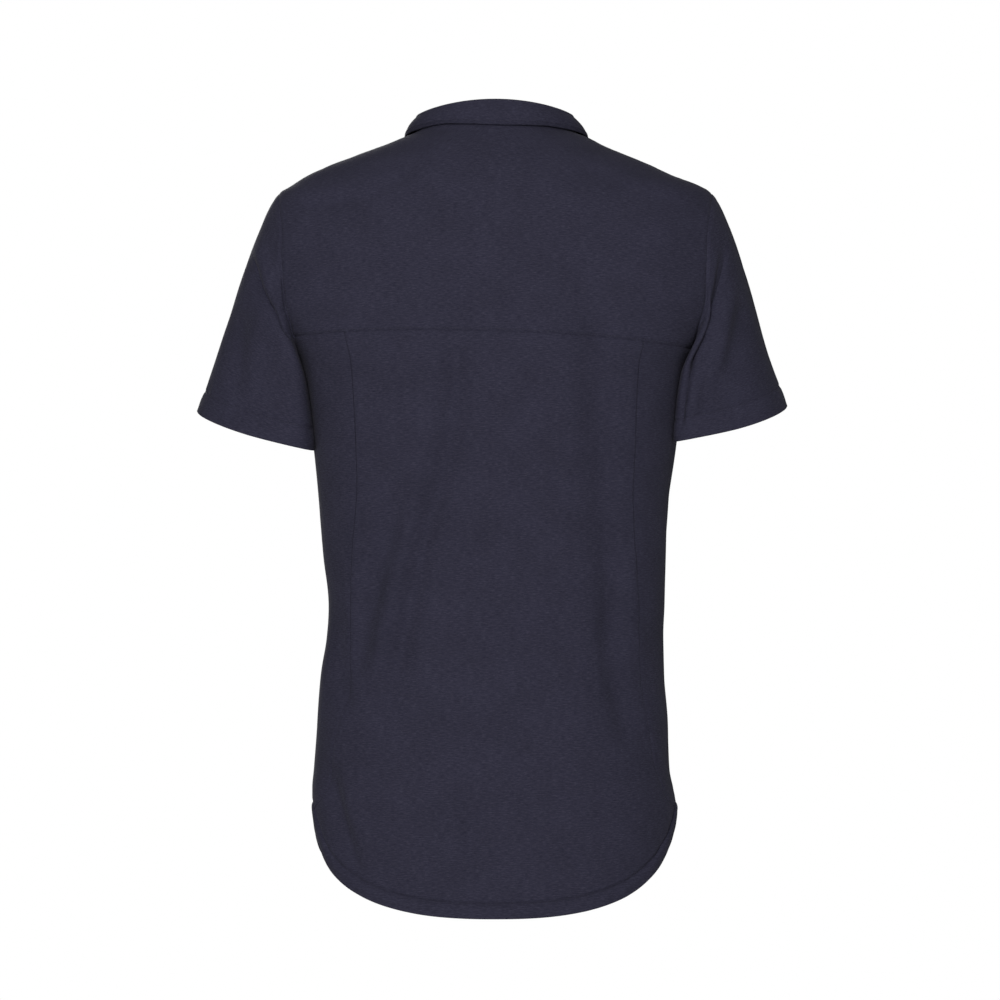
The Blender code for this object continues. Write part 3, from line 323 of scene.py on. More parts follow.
# where the camera sees a place, carried to the plane of the side seams
def seenFromBehind(place):
    share = eye["place"][1] / (eye["place"][1] - place[..., 1])
    return (
        eye["place"][0] + (place[..., 0] - eye["place"][0]) * share,
        eye["place"][2] + (place[..., 2] - eye["place"][2]) * share,
    )


# seeded soft noise between -1 and 1, one unit from bump to bump
def softNoise(x, y, seed):
    lattice = np.random.default_rng(seed).uniform(-1, 1, (noiseCells, noiseCells))
    xi, yi = np.floor(x).astype(int), np.floor(y).astype(int)
    tx, ty = smoothStep(x - xi), smoothStep(y - yi)
    left, right, low, high = xi % noiseCells, (xi + 1) % noiseCells, yi % noiseCells, (yi + 1) % noiseCells
    a, b, c, d = lattice[left, low], lattice[right, low], lattice[left, high], lattice[right, high]
    return (a * (1 - tx) + b * tx) * (1 - ty) + (c * (1 - tx) + d * tx) * ty


def distanceTo(places, line):
    flat = places.reshape(-1, 3)
    found = np.empty(len(flat))
    for k in range(0, len(flat), 4000):
        gap = flat[k : k + 4000, None] - line[None]
        found[k : k + 4000] = np.sqrt((gap * gap).sum(-1).min(-1))
    return found.reshape(places.shape[:-1])


# the body surface
sections = columnsOf(bodySections, ("z", "left", "right", "back", "front", "square"))


def section(name, z):
    return monotone(sections["z"], sections[name], z)


def halfWidth(x, z):
    return np.where(x >= 0, section("left", z), section("right", z))


def halfDepth(y, z):
    return np.where(y >= 0, section("back", z), section("front", z))


def plainBody(angle, z):
    sine, cosine, square = np.sin(angle), np.cos(angle), section("square", z)
    reach = (np.abs(sine) ** square + np.abs(cosine) ** square) ** (-1 / square)
    return np.stack([halfWidth(sine, z) * reach * sine, halfDepth(cosine, z) * reach * cosine, z], -1)


def bodyNormal(angle, z):
    turn, rise = 0.004, 0.0008
    around = plainBody(angle + turn, z) - plainBody(angle - turn, z)
    up = plainBody(angle, z + rise) - plainBody(angle, z - rise)
    return unit(np.cross(up, around))


def largeFolds(angle, z, place, lift):
    return foldHeight(bodyFolds, place[..., 0], z, np.cos(angle)) + lift


def foldedBody(angle, z, lift=0.0):
    angle, z = np.broadcast_arrays(np.asarray(angle, float), np.asarray(z, float))
    place = plainBody(angle, z)
    return place + bodyNormal(angle, z) * largeFolds(angle, z, place, lift)[..., None]


def angleAtX(x, z, behind):
    square = section("square", z)
    share = np.clip(np.abs(x) / halfWidth(x, z), 0, 0.99999) ** square
    angle = np.arctan((share / (1 - share)) ** (1 / square))
    return np.sign(x) * (angle if behind else math.pi - angle)


def angleAtY(y, z, side):
    square = section("square", z)
    share = np.clip(np.abs(y) / halfDepth(y, z), 1e-6, 0.99999) ** square
    angle = np.arctan((1 / share - 1) ** (1 / square))
    return side * np.where(y >= 0, angle, math.pi - angle)


# turn is 0 on the shoulder, a quarter behind, a half under the arm
def armhole(turn, side, grow=0.0):
    half = (armholeCut["top"] - armholeCut["foot"]) / 2 + grow
    z = (armholeCut["top"] + armholeCut["foot"]) / 2 + half * np.cos(turn)
    sine = np.sin(turn)
    y = np.where(sine >= 0, armholeCut["back"] + grow, armholeCut["front"] + grow) * sine
    return angleAtY(y, z, side), z


def yokeSeamZ(x):
    height, tilt, sag = bodyCut["yokeSeam"]
    return height + tilt * x + sag * x * x


# places beside the yoke seam, this far above it
def yokeSeamPlaces(angle, above):
    x = plainBody(angle, np.full_like(angle, bodyCut["yokeSeam"][0]))[:, 0]
    return np.stack([angle, yokeSeamZ(x) + above], -1)


def armholeTurnAtYoke(side):
    half = (armholeCut["top"] - armholeCut["foot"]) / 2
    middle = (armholeCut["top"] + armholeCut["foot"]) / 2
    z = bodyCut["yokeSeam"][0]
    for _ in range(8):
        turn = math.acos((z - middle) / half)
        angle, height = armhole(np.array(turn), side)
        z = float(yokeSeamZ(plainBody(angle, height)[0]))
    return turn


def hemZ(angle):
    vent = bodyCut["ventAngle"]
    turn = np.interp(np.abs(angle), (0, vent, math.pi), (0, math.pi / 2, math.pi))
    sine = np.abs(np.sin(turn)) ** bodyCut["hemSquare"]
    cosine = np.hypot(np.cos(turn), bodyCut["ventRounding"]) ** bodyCut["hemSquare"]
    toFront = smoothStep((turn - bodyCut["tailTurn"]) / bodyCut["tailWidth"])
    tail = bodyCut["backTail"] + (bodyCut["frontTail"] - bodyCut["backTail"]) * toFront
    share = (cosine / (sine + cosine)) ** (1 / bodyCut["hemFullness"])
    return bodyCut["ventTop"] + (tail - bodyCut["ventTop"]) * share


def sideSeamAngle(z, side):
    line = columnsOf(sideSeams, ("z", 1, -1))
    angles = angleAtX(side * line[side], line["z"], True)
    vent = side * bodyCut["ventAngle"]
    return monotone(np.append(line["z"], hemZ(vent)), np.append(angles, vent), z)


def sideSeamTop(side):
    z = bodyCut["yokeSeam"][0]
    for _ in range(8):
        angle = float(sideSeamAngle(np.array(z), side))
        z = float(yokeSeamZ(plainBody(np.array(angle), np.array(z))[0]))
    return angle, z


def neckline(turn):
    low = np.where(np.cos(turn) >= 0, neckCut["back"], neckCut["front"])
    return neckCut["halfWidth"] * np.sin(turn), neckCut["side"] + (low - neckCut["side"]) * np.cos(turn) ** 2


def neckPlace(turn, side):
    x, z = neckline(turn)
    behind = math.cos(turn) >= 0
    return float(angleAtX(np.array(side * max(x, 1e-9)), np.array(z), behind)), float(z)


# seam lines in space, for the small relief beside them
def seamLines():
    lines = {}
    across = np.linspace(-0.2, 0.2, readMake["seam"])
    height = yokeSeamZ(across)
    keep = np.abs(across) < section("left", height) * bodyCut["yokeReach"]
    lines["yoke"] = plainBody(angleAtX(across[keep], height[keep], True), height[keep])
    for side, name in ((1, "Left"), (-1, "Right")):
        z = np.linspace(sideSeamTop(side)[1], float(hemZ(bodyCut["ventAngle"])), readMake["seam"])
        lines["side" + name] = plainBody(sideSeamAngle(z, side), z)
        lines["arm" + name] = plainBody(*armhole(np.linspace(0, 2 * math.pi, readMake["seam"]), side))
        z = np.linspace(armholeCut["top"], neckCut["side"], readMake["shoulder"])
        lines["shoulder" + name] = plainBody(np.full_like(z, side * math.pi / 2), z)
    angle = np.linspace(-math.pi, math.pi, readMake["hem"])
    lines["hem"] = plainBody(angle, hemZ(angle))
    return lines


seams = seamLines()


# arc length round the body and down it, as tables over (angle, height)
def clothTables():
    angles = np.linspace(0, math.pi, readMake["round"] + 1)
    heights = np.linspace(*readMake["heights"], readMake["down"] + 1)
    tables = {"angles": angles, "heights": heights}
    for side in (1, -1):
        grid = plainBody(side * angles[None, :], np.repeat(heights[:, None], len(angles), 1))
        tables[side, "u"], tables[side, "v"] = arcs(grid, 1), arcs(grid, 0)
    return tables


cloth = clothTables()


# the value between four cells of a table
def betweenCells(table, i, j, p, q):
    first, second = (table[i + k, j] * (1 - q) + table[i + k, j + 1] * q for k in (0, 1))
    return first * (1 - p) + second * p


def readTable(table, angle, z):
    def rowOf(value, marks):
        return np.clip(np.interp(value, marks, np.arange(len(marks))), 0, len(marks) - 1.001)

    a, h = rowOf(angle, cloth["angles"]), rowOf(z, cloth["heights"])
    i, j = h.astype(int), a.astype(int)
    p, q = h - i, a - j
    return betweenCells(table, i, j, p, q)


# metres along the cloth: across from the centre back, or from the centre front, and upwards
def bodyUv(angle, z, fromFront=False):
    turn = np.abs(angle)
    result = np.empty(angle.shape + (2,))
    for side in (1, -1):
        mine = (angle >= 0) if side > 0 else (angle < 0)
        across = readTable(cloth[side, "u"], turn, z)
        if fromFront:
            across = across - readTable(cloth[side, "u"], np.full_like(turn, math.pi), z)
        result[mine, 0] = (side * across)[mine]
        result[mine, 1] = readTable(cloth[side, "v"], turn, z)[mine]
    return result


# the cloth as it shows
relief = {
    "seamDip": 0.0007,  # valley at a seam
    "seamDipWidth": 0.0022,
    "seamDepth": {"armLeft": 0.3, "armRight": 0.3, "sideLeft": 0.2, "sideRight": 0.08},  # share of the dip
    "allowance": 0.00030,  # swell over the allowance inside
    "allowancePlace": (0.0045, 0.0022),  # its middle and width
    "pucker": 0.00022,  # small waves beside the stitching
    "puckerLength": 0.0085,
    "puckerReach": 0.008,
    "wave": 0.0007,  # slow unevenness of worn jersey
    # share of it, width, slant, height, start and seed of each layer
    "waveLayers": ((1.0, 0.034, 0.15, 0.085, 20, 3), (0.4, 0.015, -0.06, 0.038, 40, 5)),
    "hemGroove": 0.0019,
    "hemGrooveWidth": 0.0019,
    "hemSwell": 0.0011,
    "hemSwellShare": 0.36,  # of the hem's depth
    "hemPucker": 0.0009,
    "hemPuckerLength": 0.0095,
    "hemPuckerReach": 0.007,
}
seamNames = ("yoke", "sideLeft", "sideRight", "shoulderLeft", "shoulderRight", "armLeft", "armRight")


def bodyRelief(angle, z, place):
    facing = np.cos(angle)
    seenX, seenZ = seenFromBehind(place)
    behind = facing > 0
    x, height = np.where(behind, seenX, place[..., 0]), np.where(behind, seenZ, place[..., 2])
    moved = foldHeight(bodyCreases, x, height, facing, foldMake["bodyEnds"])
    uv = bodyUv(angle, z)
    across, up = uv[..., 0], uv[..., 1]
    for share, wide, slant, tall, start, seed in relief["waveLayers"]:
        moved += share * relief["wave"] * softNoise(across / wide + up / slant + start, up / tall + start, seed)
    pucker = relief["puckerLength"]
    waves = softNoise(across / pucker + up / pucker + 60, up / 0.05 + 60, 7)
    for name in seamNames:
        away = distanceTo(place, seams[name])
        deep = relief["seamDepth"].get(name, 1.0)
        middle, width = relief["allowancePlace"]
        moved -= deep * relief["seamDip"] * bell(away, relief["seamDipWidth"])
        moved += min(1.0, 2 * deep) * relief["allowance"] * bell(away - middle, width)
        moved += relief["pucker"] * waves * bell(away, relief["puckerReach"])
    away = distanceTo(place, seams["hem"])
    depth = bodyCut["hemDepth"]
    moved -= relief["hemGroove"] * bell(away - depth, relief["hemGrooveWidth"])
    moved += relief["hemSwell"] * bell(away - depth / 2, depth * relief["hemSwellShare"])
    waves = softNoise(across / relief["hemPuckerLength"] + 80, away / 0.03 + 80, 9)
    moved += relief["hemPucker"] * waves * bell(away - depth, relief["hemPuckerReach"])
    return moved, away


def bodyCloth(angle, z, lift=0.0):
    angle, z = np.broadcast_arrays(np.asarray(angle, float), np.asarray(z, float))
    place = plainBody(angle, z)
    moved = largeFolds(angle, z, place, lift)
    small, fromHem = bodyRelief(angle, z, place)
    return place + bodyNormal(angle, z) * (moved + small)[..., None], fromHem


# grids of (angle, z) places
cells = {
    "wingColumns": 15,
    "backColumns": 65,
    "wingRows": 24,
    "skirtRows": 160,
    "yokeRows": 66,
    "shoulderColumns": 36,
    "yokeColumns": 96,
    "frontWingRows": 18,
    "chestRows": 72,
    "frontSkirtRows": 120,
    "frontColumns": 65,
    "frontShoulderColumns": 30,
    "sweepRows": 12,
    "sleeveBackColumns": 190,
    "sleeveFrontColumns": 100,
    "sleeveRows": 118,
    "collarColumns": 90,
    "rollRows": 10,
    "fallRows": 28,
    "standRows": 9,
    "bandColumns": 12,
    "bandRows": 110,
}


# a grid of places between four edges that share their corners
def patch(foot, top, left, right):
    across = np.linspace(0, 1, len(foot))[None, :, None]
    upward = np.linspace(0, 1, len(left))[:, None, None]
    ruledUp = (1 - upward) * foot[None] + upward * top[None]
    ruledAcross = (1 - across) * left[:, None] + across * right[:, None]
    corners = (
        (1 - across) * (1 - upward) * foot[0]
        + across * (1 - upward) * foot[-1]
        + (1 - across) * upward * top[0]
        + across * upward * top[-1]
    )
    return ruledUp + ruledAcross - corners


# splits the first or last cells of a grid in three, where the small relief needs it
def refineRows(grid, first=0, last=0):
    rows = len(grid)
    marks = []
    for r in range(rows - 1):
        marks.append(float(r))
        if r < first or r >= rows - 1 - last:
            marks += [r + 1 / 3, r + 2 / 3]
    marks.append(float(rows - 1))
    marks = np.array(marks)
    low = np.minimum(marks.astype(int), rows - 2)
    share = (marks - low)[:, None, None]
    return grid[low] * (1 - share) + grid[low + 1] * share


def refineColumns(grid, first=0, last=0):
    return refineRows(grid.swapaxes(0, 1), first, last).swapaxes(0, 1)


def shoulderEdge(side, towardsFront, count):
    z = np.linspace(armholeCut["top"], neckCut["side"], readMake["shoulder"])
    half = section("left" if side > 0 else "right", z)
    x = np.linspace(half[0], half[-1], count + 1)
    height = np.interp(-x, -half, z)
    turn = side * (math.pi / 2 + towardsFront * bodyCut["seamGap"] / 2 / bodyCut["shoulderRadius"])
    return np.stack([np.full_like(height, turn), height], -1)


# the shoulder and then the neck, as far as a turn of the neckline
def upperEdge(side, towardsFront, shoulderColumns, neckColumns, lastTurn):
    neck = [neckPlace(t, side) for t in np.linspace(math.pi / 2, lastTurn, neckColumns + 1)[1:]]
    return np.vstack([shoulderEdge(side, towardsFront, shoulderColumns), neck])


def armEdge(turns, side):
    return np.stack(armhole(turns, side, bodyCut["seamGap"] / 2), -1)


def centreLine(start, end, count):
    return np.stack([np.zeros(count), np.linspace(start, end, count)], -1)


def yokeHalf(side):
    wingCount, backCount = cells["shoulderColumns"] // 2, cells["yokeColumns"] - cells["shoulderColumns"] // 2
    topAngle = sideSeamTop(side)[0]
    turn = armholeTurnAtYoke(side)
    left = armEdge(np.linspace(turn, 0, cells["yokeRows"] + 1), side)
    footAngle = np.concatenate(
        [np.linspace(left[0, 0], topAngle, wingCount + 1), np.linspace(topAngle, 0, backCount + 1)[1:]]
    )
    foot = yokeSeamPlaces(footAngle, bodyCut["panelGap"] / 2)
    top = upperEdge(side, -1, cells["shoulderColumns"], cells["yokeColumns"] - cells["shoulderColumns"], 0)
    shoulderTurn = math.pi / 2 - bodyCut["seamGap"] / 2 / bodyCut["shoulderRadius"]
    top[:, 0] = side * np.minimum(np.abs(top[:, 0]), shoulderTurn)
    left[0], left[-1] = foot[0], top[0]
    right = centreLine(foot[-1, 1], top[-1, 1], len(left))
    right[0], right[-1] = foot[-1], top[-1]
    return patch(foot, top, left, right)


# metres round the body for one radian
def paceAt(angle, z):
    turn = 0.001
    return np.linalg.norm(plainBody(angle + turn, z) - plainBody(angle - turn, z), axis=-1) / (2 * turn)


def seamPlaces(side, shift, wingRows, skirtRows):
    top = sideSeamTop(side)[1] - bodyCut["panelGap"] / 2
    z = np.linspace(armholeCut["foot"], float(hemZ(bodyCut["ventAngle"])), 600)
    line = plainBody(sideSeamAngle(z, side), z)
    run = arcs(line)
    z = np.interp(np.linspace(0, run[-1], skirtRows + 1), run, z)
    z = np.concatenate([np.linspace(top, armholeCut["foot"], wingRows + 1), z[1:]])
    turn = side * sideSeamAngle(z, side)
    pace = paceAt(turn, z)
    along, down = np.gradient(turn) * pace, np.gradient(z)
    length = np.hypot(along, down)
    return np.stack([side * (turn - shift * down / length / pace), z + shift * along / length], -1)


def hemPlaces(start, end, count):
    angle = np.linspace(start, end, count + 1)
    return np.stack([angle, hemZ(angle)], -1)


def backHalf(side):
    seam = seamPlaces(side, -bodyCut["panelGap"] / 2, cells["wingRows"], cells["skirtRows"])
    top = yokeSeamPlaces(np.linspace(seam[0, 0], 0, cells["backColumns"] + 1), -bodyCut["panelGap"] / 2)
    hem = hemPlaces(seam[-1, 0], 0.0, cells["backColumns"])
    hem[0], seam[0] = seam[-1], top[0]
    middle = centreLine(top[-1, 1], hem[-1, 1], len(seam))
    return patch(top, hem, seam, middle)


# the part of the front that reaches round to the side seam, beside the armhole
def frontWing(side):
    seam = seamPlaces(side, bodyCut["panelGap"] / 2, cells["frontWingRows"], cells["frontSkirtRows"])
    seam = seam[: cells["frontWingRows"] + 1]
    turn = np.linspace(armholeTurnAtYoke(side), math.pi, cells["frontWingRows"] + 1)
    arm = armEdge(turn, side)
    topAngle = np.linspace(seam[0, 0], arm[0, 0], cells["wingColumns"] + 1)
    top = yokeSeamPlaces(topAngle, -bodyCut["panelGap"] / 2)
    foot = np.linspace(seam[-1], arm[-1], cells["wingColumns"] + 1)
    seam[0], arm[0] = top[0], top[-1]
    return patch(top, foot, seam, arm)


placketCut = {
    "slitHalfWidth": 0.0125,
    "slitFoot": -0.2045,
    "halfWidth": 0.0150,
    "foot": -0.2090,
    "topGap": 0.0012,
    "cloth": 0.0012,
    "edgeStitch": 0.0018,  # from a band's long edges
    "edgeGroove": (0.00025, 0.0009),
    "wave": 0.00012,
    "boxTop": -0.1965,  # foot box of the outer band
}


def slitEdge(z, side):
    return angleAtX(np.full_like(z, side * placketCut["slitHalfWidth"]), z, False)


def chestHalf(side):
    arm = armEdge(np.linspace(2 * math.pi, math.pi, cells["chestRows"] + 1), side)
    neckColumns = cells["frontColumns"] - cells["frontShoulderColumns"]
    lastTurn = math.pi - math.asin(placketCut["slitHalfWidth"] / neckCut["halfWidth"])
    top = upperEdge(side, 1, cells["frontShoulderColumns"], neckColumns, lastTurn)
    slitZ = np.concatenate([np.linspace(top[-1, 1], placketCut["slitFoot"], cells["chestRows"] - 5),
                            np.linspace(placketCut["slitFoot"], armholeCut["foot"], 7)[1:]])
    slit = np.stack([slitEdge(slitZ, side), slitZ], -1)
    foot = np.linspace(arm[-1], slit[-1], cells["frontColumns"] + 1)
    arm[0], slit[0] = top[0], top[-1]
    return patch(top, foot, arm, slit)


# the last cells of the side seam belong to the lowest row, so that no cell folds over at the vent
def skirtHalf(side):
    places = seamPlaces(side, bodyCut["panelGap"] / 2, cells["frontWingRows"], cells["frontSkirtRows"])
    seam = places[cells["frontWingRows"] :]
    sweep = seam[-cells["sweepRows"] - 1 : -1]
    seam = seam[: -cells["sweepRows"]]
    top = np.vstack([frontWing(side)[-1], chestHalf(side)[-1][1:]])
    middleAngle = float(slitEdge(np.array(bodyCut["frontTail"]), side))
    hemColumns = cells["wingColumns"] + cells["frontColumns"] - cells["sweepRows"]
    hem = hemPlaces(places[-1, 0], middleAngle, hemColumns)
    hem[0] = places[-1]
    foot = np.vstack([sweep, hem])
    middleZ = np.linspace(armholeCut["foot"], hem[-1, 1], len(seam))
    middle = np.stack([slitEdge(middleZ, side), middleZ], -1)
    middle[0], middle[-1], seam[0] = top[-1], foot[-1], top[0]
    return patch(top, foot, seam, middle)


# from grids to a wall of cloth
# each part is (points, uv, inner thickening, seam flag, flip)
def joinGrids(parts):
    points, uvs, extras, flags, faces, start = [], [], [], [], [], 0
    for grid, uv, extra, flag, flip in parts:
        rows, columns = grid.shape[:2]
        number = start + np.arange(rows * columns).reshape(rows, columns)
        quad = np.stack([number[:-1, :-1], number[1:, :-1], number[1:, 1:], number[:-1, 1:]], -1).reshape(-1, 4)
        faces.append(quad[:, ::-1] if flip else quad)
        points.append(grid.reshape(-1, 3))
        uvs.append(uv.reshape(-1, 2))
        extras.append(np.broadcast_to(extra, grid.shape[:2]).reshape(-1))
        flags.append(np.broadcast_to(flag, grid.shape[:2]).reshape(-1))
        start += rows * columns
    points = np.concatenate(points)
    key = np.round(points * 1e6).astype(np.int64)
    _, first, back = np.unique(key, axis=0, return_index=True, return_inverse=True)
    faces = back.reshape(-1)[np.concatenate(faces)]
    same = (faces == np.roll(faces, 1, 1)).sum(1)
    return (
        points[first],
        np.concatenate(uvs)[first],
        np.concatenate(extras)[first],
        np.concatenate(flags)[first],
        faces[same == 0],
    )


def faceNormals(points, faces):
    return np.cross(points[faces[:, 2]] - points[faces[:, 0]], points[faces[:, 3]] - points[faces[:, 1]])


def vertexNormals(points, faces):
    total = np.zeros_like(points)
    normal = faceNormals(points, faces)
    for corner in range(4):
        np.add.at(total, faces[:, corner], normal)
    return total / np.maximum(np.linalg.norm(total, axis=-1, keepdims=True), 1e-12)


# edges with one face, in that face's own direction
def borderEdges(faces, count):
    edges = np.stack([faces, np.roll(faces, -1, 1)], -1).reshape(-1, 2)
    low, high = edges.min(1), edges.max(1)
    _, first, times = np.unique(low * count + high, return_index=True, return_counts=True)
    return edges[first[times == 1]]


# level directions that leave the cloth at its border
def borderOutward(points, normal, border):
    out = np.zeros_like(points)
    step = np.cross(points[border[:, 1]] - points[border[:, 0]], normal[border[:, 0]])
    np.add.at(out, border[:, 0], step)
    np.add.at(out, border[:, 1], step)
    return out / np.maximum(np.linalg.norm(out, axis=-1, keepdims=True), 1e-12)


def clothPiece(name, parts, thickness, outward, finish, foldIn=bodyCut["foldIn"]):
    points, uv, extra, flag, faces = joinGrids(parts)
    normal = vertexNormals(points, faces)
    if (normal * outward(points)).sum() < 0:
        faces = faces[:, ::-1]
        normal = -normal
    border = borderEdges(faces, len(points))
    turned = border[(flag[border[:, 0]] > 0.5) & (flag[border[:, 1]] > 0.5)]
    if len(turned) and foldIn > 0:  # the allowance turns to the inside along a seam
        out = borderOutward(points, normal, turned)
        seamPoints = np.unique(turned)
        number = np.full(len(points), -1)
        number[seamPoints] = len(points) + np.arange(len(seamPoints))
        inside = points[seamPoints] - normal[seamPoints] * foldIn
        inside = inside - out[seamPoints] * foldIn * bodyCut["foldBack"]
        near, far = turned[:, 0], turned[:, 1]
        faces = np.vstack([faces, np.stack([far, near, number[near], number[far]], -1)])
        points = np.vstack([points, inside])
        uv, extra = np.vstack([uv, uv[seamPoints]]), np.append(extra, extra[seamPoints])
        normal = vertexNormals(points, faces)
        border = borderEdges(faces, len(points))
    out = borderOutward(points, normal, border)
    rimPoints = np.unique(border)
    count = len(points)
    rim = np.full(count, -1)
    rim[rimPoints] = 2 * count + np.arange(len(rimPoints))
    outer, inner = points + normal * thickness / 2, points - normal * (thickness / 2 + extra[:, None])
    rounding = (thickness + extra[rimPoints, None]) * bodyCut["rimShare"]
    middle = (outer[rimPoints] + inner[rimPoints]) / 2 + out[rimPoints] * rounding
    a, b = border[:, 0], border[:, 1]
    allFaces = np.vstack([
        faces,
        faces[:, ::-1] + count,
        np.stack([b, a, rim[a], rim[b]], -1),
        np.stack([rim[b], rim[a], a + count, b + count], -1),
    ])
    allPoints = np.vstack([outer, inner, middle])
    allUv = np.vstack([uv, uv, uv[rimPoints]])
    mesh = bpy.data.meshes.new(name)
    mesh.from_pydata(allPoints.tolist(), [], allFaces.tolist())
    layer = mesh.uv_layers.new(name="clothMetres")
    corner = np.empty(len(mesh.loops), int)
    mesh.loops.foreach_get("vertex_index", corner)
    layer.data.foreach_set("uv", allUv[corner].astype(np.float32).ravel())
    mesh.shade_smooth()
    mesh.set_sharp_from_angle(angle=math.radians(58))
    mesh.materials.append(finish)
    piece = addObject(name, mesh)
    area = np.linalg.norm(faceNormals(points, faces), axis=-1).sum() / 2
    spread = uv.max(0) - uv.min(0)
    size = f"{area:.4f} square metres, {spread[0]:.3f} by {spread[1]:.3f} m along the cloth"
    print(f"{name}: {len(allFaces) * 2} triangles, {size}")
    return piece


# a hem's second layer, as thickness inside
def hemExtra(depth, fromEdge):
    past, rise = bodyCut["hemExtraEdge"]
    return bodyCut["hemExtra"] * smoothStep((depth + past - fromEdge) / rise)


def bodyPart(places, flip, fromFront=False, seam=0.0):
    grid, fromHem = bodyCloth(places[..., 0], places[..., 1])
    extra = hemExtra(bodyCut["hemDepth"], fromHem)
    return grid, bodyUv(places[..., 0], places[..., 1], fromFront), extra, seam, flip


# materials
jerseyLook = {
    "dark": (0.0160, 0.0153, 0.0280, 1),
    "middle": (0.0265, 0.0255, 0.0435, 1),
    "light": (0.0470, 0.0455, 0.0700, 1),
    "roughness": 0.92,
    "specular": 0.10,
    "roughnessRange": 0.05,
    "mottle": 0.07,
    "sheen": 0.02,
    "waleWidth": 0.00085,
    "courseHeight": 0.00070,
    "bump": 0.25,
}


# share, length and height against the streak's own, detail, offset
heatherStreaks = ((0.42, 1.0, 1.0, 2.0, 0.0), (0.36, 0.45, 0.7, 2.0, 7.0), (0.22, 0.10, 0.30, 1.0, 13.0))
mottleStreak = (6.0, 40.0, 2.0, 21.0)


def addNode(tree, kind, values=None, **settings):
    node = tree.nodes.new(kind)
    for name, value in settings.items():
        setattr(node, name, value)
    for key, value in (values or {}).items():
        node.inputs[key].default_value = value
    return node


def mathNode(tree, operation, first, second=None):
    node = tree.nodes.new("ShaderNodeMath")
    node.operation = operation
    for slot, value in enumerate((first, second)):
        if value is None:
            continue
        if isinstance(value, (int, float)):
            node.inputs[slot].default_value = value
        else:
            tree.links.new(value, node.inputs[slot])
    return node.outputs[0]


def newMaterial(name):
    made = bpy.data.materials.new(name)
    made.use_nodes = True
    return made, made.node_tree, made.node_tree.nodes["Principled BSDF"]


# a ramp between (position, colour) stops
def rampNode(tree, source, *stops):
    node = tree.nodes.new("ShaderNodeValToRGB")
    low, high, *others = stops
    for element, (place, colour) in zip(node.color_ramp.elements, (low, high)):
        element.position, element.color = place, colour
    for place, colour in others:
        node.color_ramp.elements.new(place).color = colour
    tree.links.new(source, node.inputs[0])
    return node


# takes the middle of a noise to a range
def rangeNode(tree, source, low, high):
    values = {"From Min": 0.3, "From Max": 0.7, "To Min": low, "To Max": high}
    node = addNode(tree, "ShaderNodeMapRange", values)
    tree.links.new(source, node.inputs[0])
    return node


# heather streaks along the courses, and the loops of plain jersey
def knitGroup():
    group = bpy.data.node_groups.new("heatherKnit", "ShaderNodeTree")
    face = group.interface
    face.new_socket("Cloth", in_out="INPUT", socket_type="NodeSocketVector")
    for name, value in (("Wale width", 0.00085), ("Course height", 0.0007), ("Streak length", 0.009),
                        ("Streak height", 0.0011)):
        face.new_socket(name, in_out="INPUT", socket_type="NodeSocketFloat").default_value = value
    for name in ("Heather", "Mottle", "Loops"):
        face.new_socket(name, in_out="OUTPUT", socket_type="NodeSocketFloat")
    start, end = group.nodes.new("NodeGroupInput"), group.nodes.new("NodeGroupOutput")
    link = group.links.new
    parted = group.nodes.new("ShaderNodeSeparateXYZ")
    link(start.outputs["Cloth"], parted.inputs[0])
    u, v = parted.outputs[0], parted.outputs[1]

    def streaks(lengthShare, heightShare, detail, offset):
        length = mathNode(group, "MULTIPLY", start.outputs["Streak length"], lengthShare)
        height = mathNode(group, "MULTIPLY", start.outputs["Streak height"], heightShare)
        across, up = mathNode(group, "DIVIDE", u, length), mathNode(group, "DIVIDE", v, height)
        place = group.nodes.new("ShaderNodeCombineXYZ")
        link(across, place.inputs[0])
        link(up, place.inputs[1])
        place.inputs[2].default_value = offset
        noise = addNode(group, "ShaderNodeTexNoise", {"Scale": 1.0, "Detail": detail, "Roughness": 0.6})
        link(place.outputs[0], noise.inputs["Vector"])
        return noise.outputs[0]

    blend = None
    for share, *streak in heatherStreaks:
        layer = mathNode(group, "MULTIPLY", streaks(*streak), share)
        blend = mathNode(group, "ADD", blend, layer) if blend else layer
    link(blend, end.inputs["Heather"])
    link(streaks(*mottleStreak), end.inputs["Mottle"])

    wale = mathNode(group, "DIVIDE", u, start.outputs["Wale width"])
    inWale = mathNode(group, "ABSOLUTE", mathNode(group, "SUBTRACT", mathNode(group, "FRACT", wale), 0.5))
    course = mathNode(group, "DIVIDE", v, start.outputs["Course height"])
    slanted = mathNode(group, "ADD", course, inWale)
    legs = mathNode(group, "SINE", mathNode(group, "MULTIPLY", slanted, 2 * math.pi))
    ribs = mathNode(group, "COSINE", mathNode(group, "MULTIPLY", inWale, 4 * math.pi))
    legs, ribs = mathNode(group, "MULTIPLY", legs, 0.30), mathNode(group, "MULTIPLY", ribs, -0.20)
    link(mathNode(group, "ADD", mathNode(group, "ADD", legs, ribs), 0.5), end.inputs["Loops"])
    return group


knit = knitGroup()


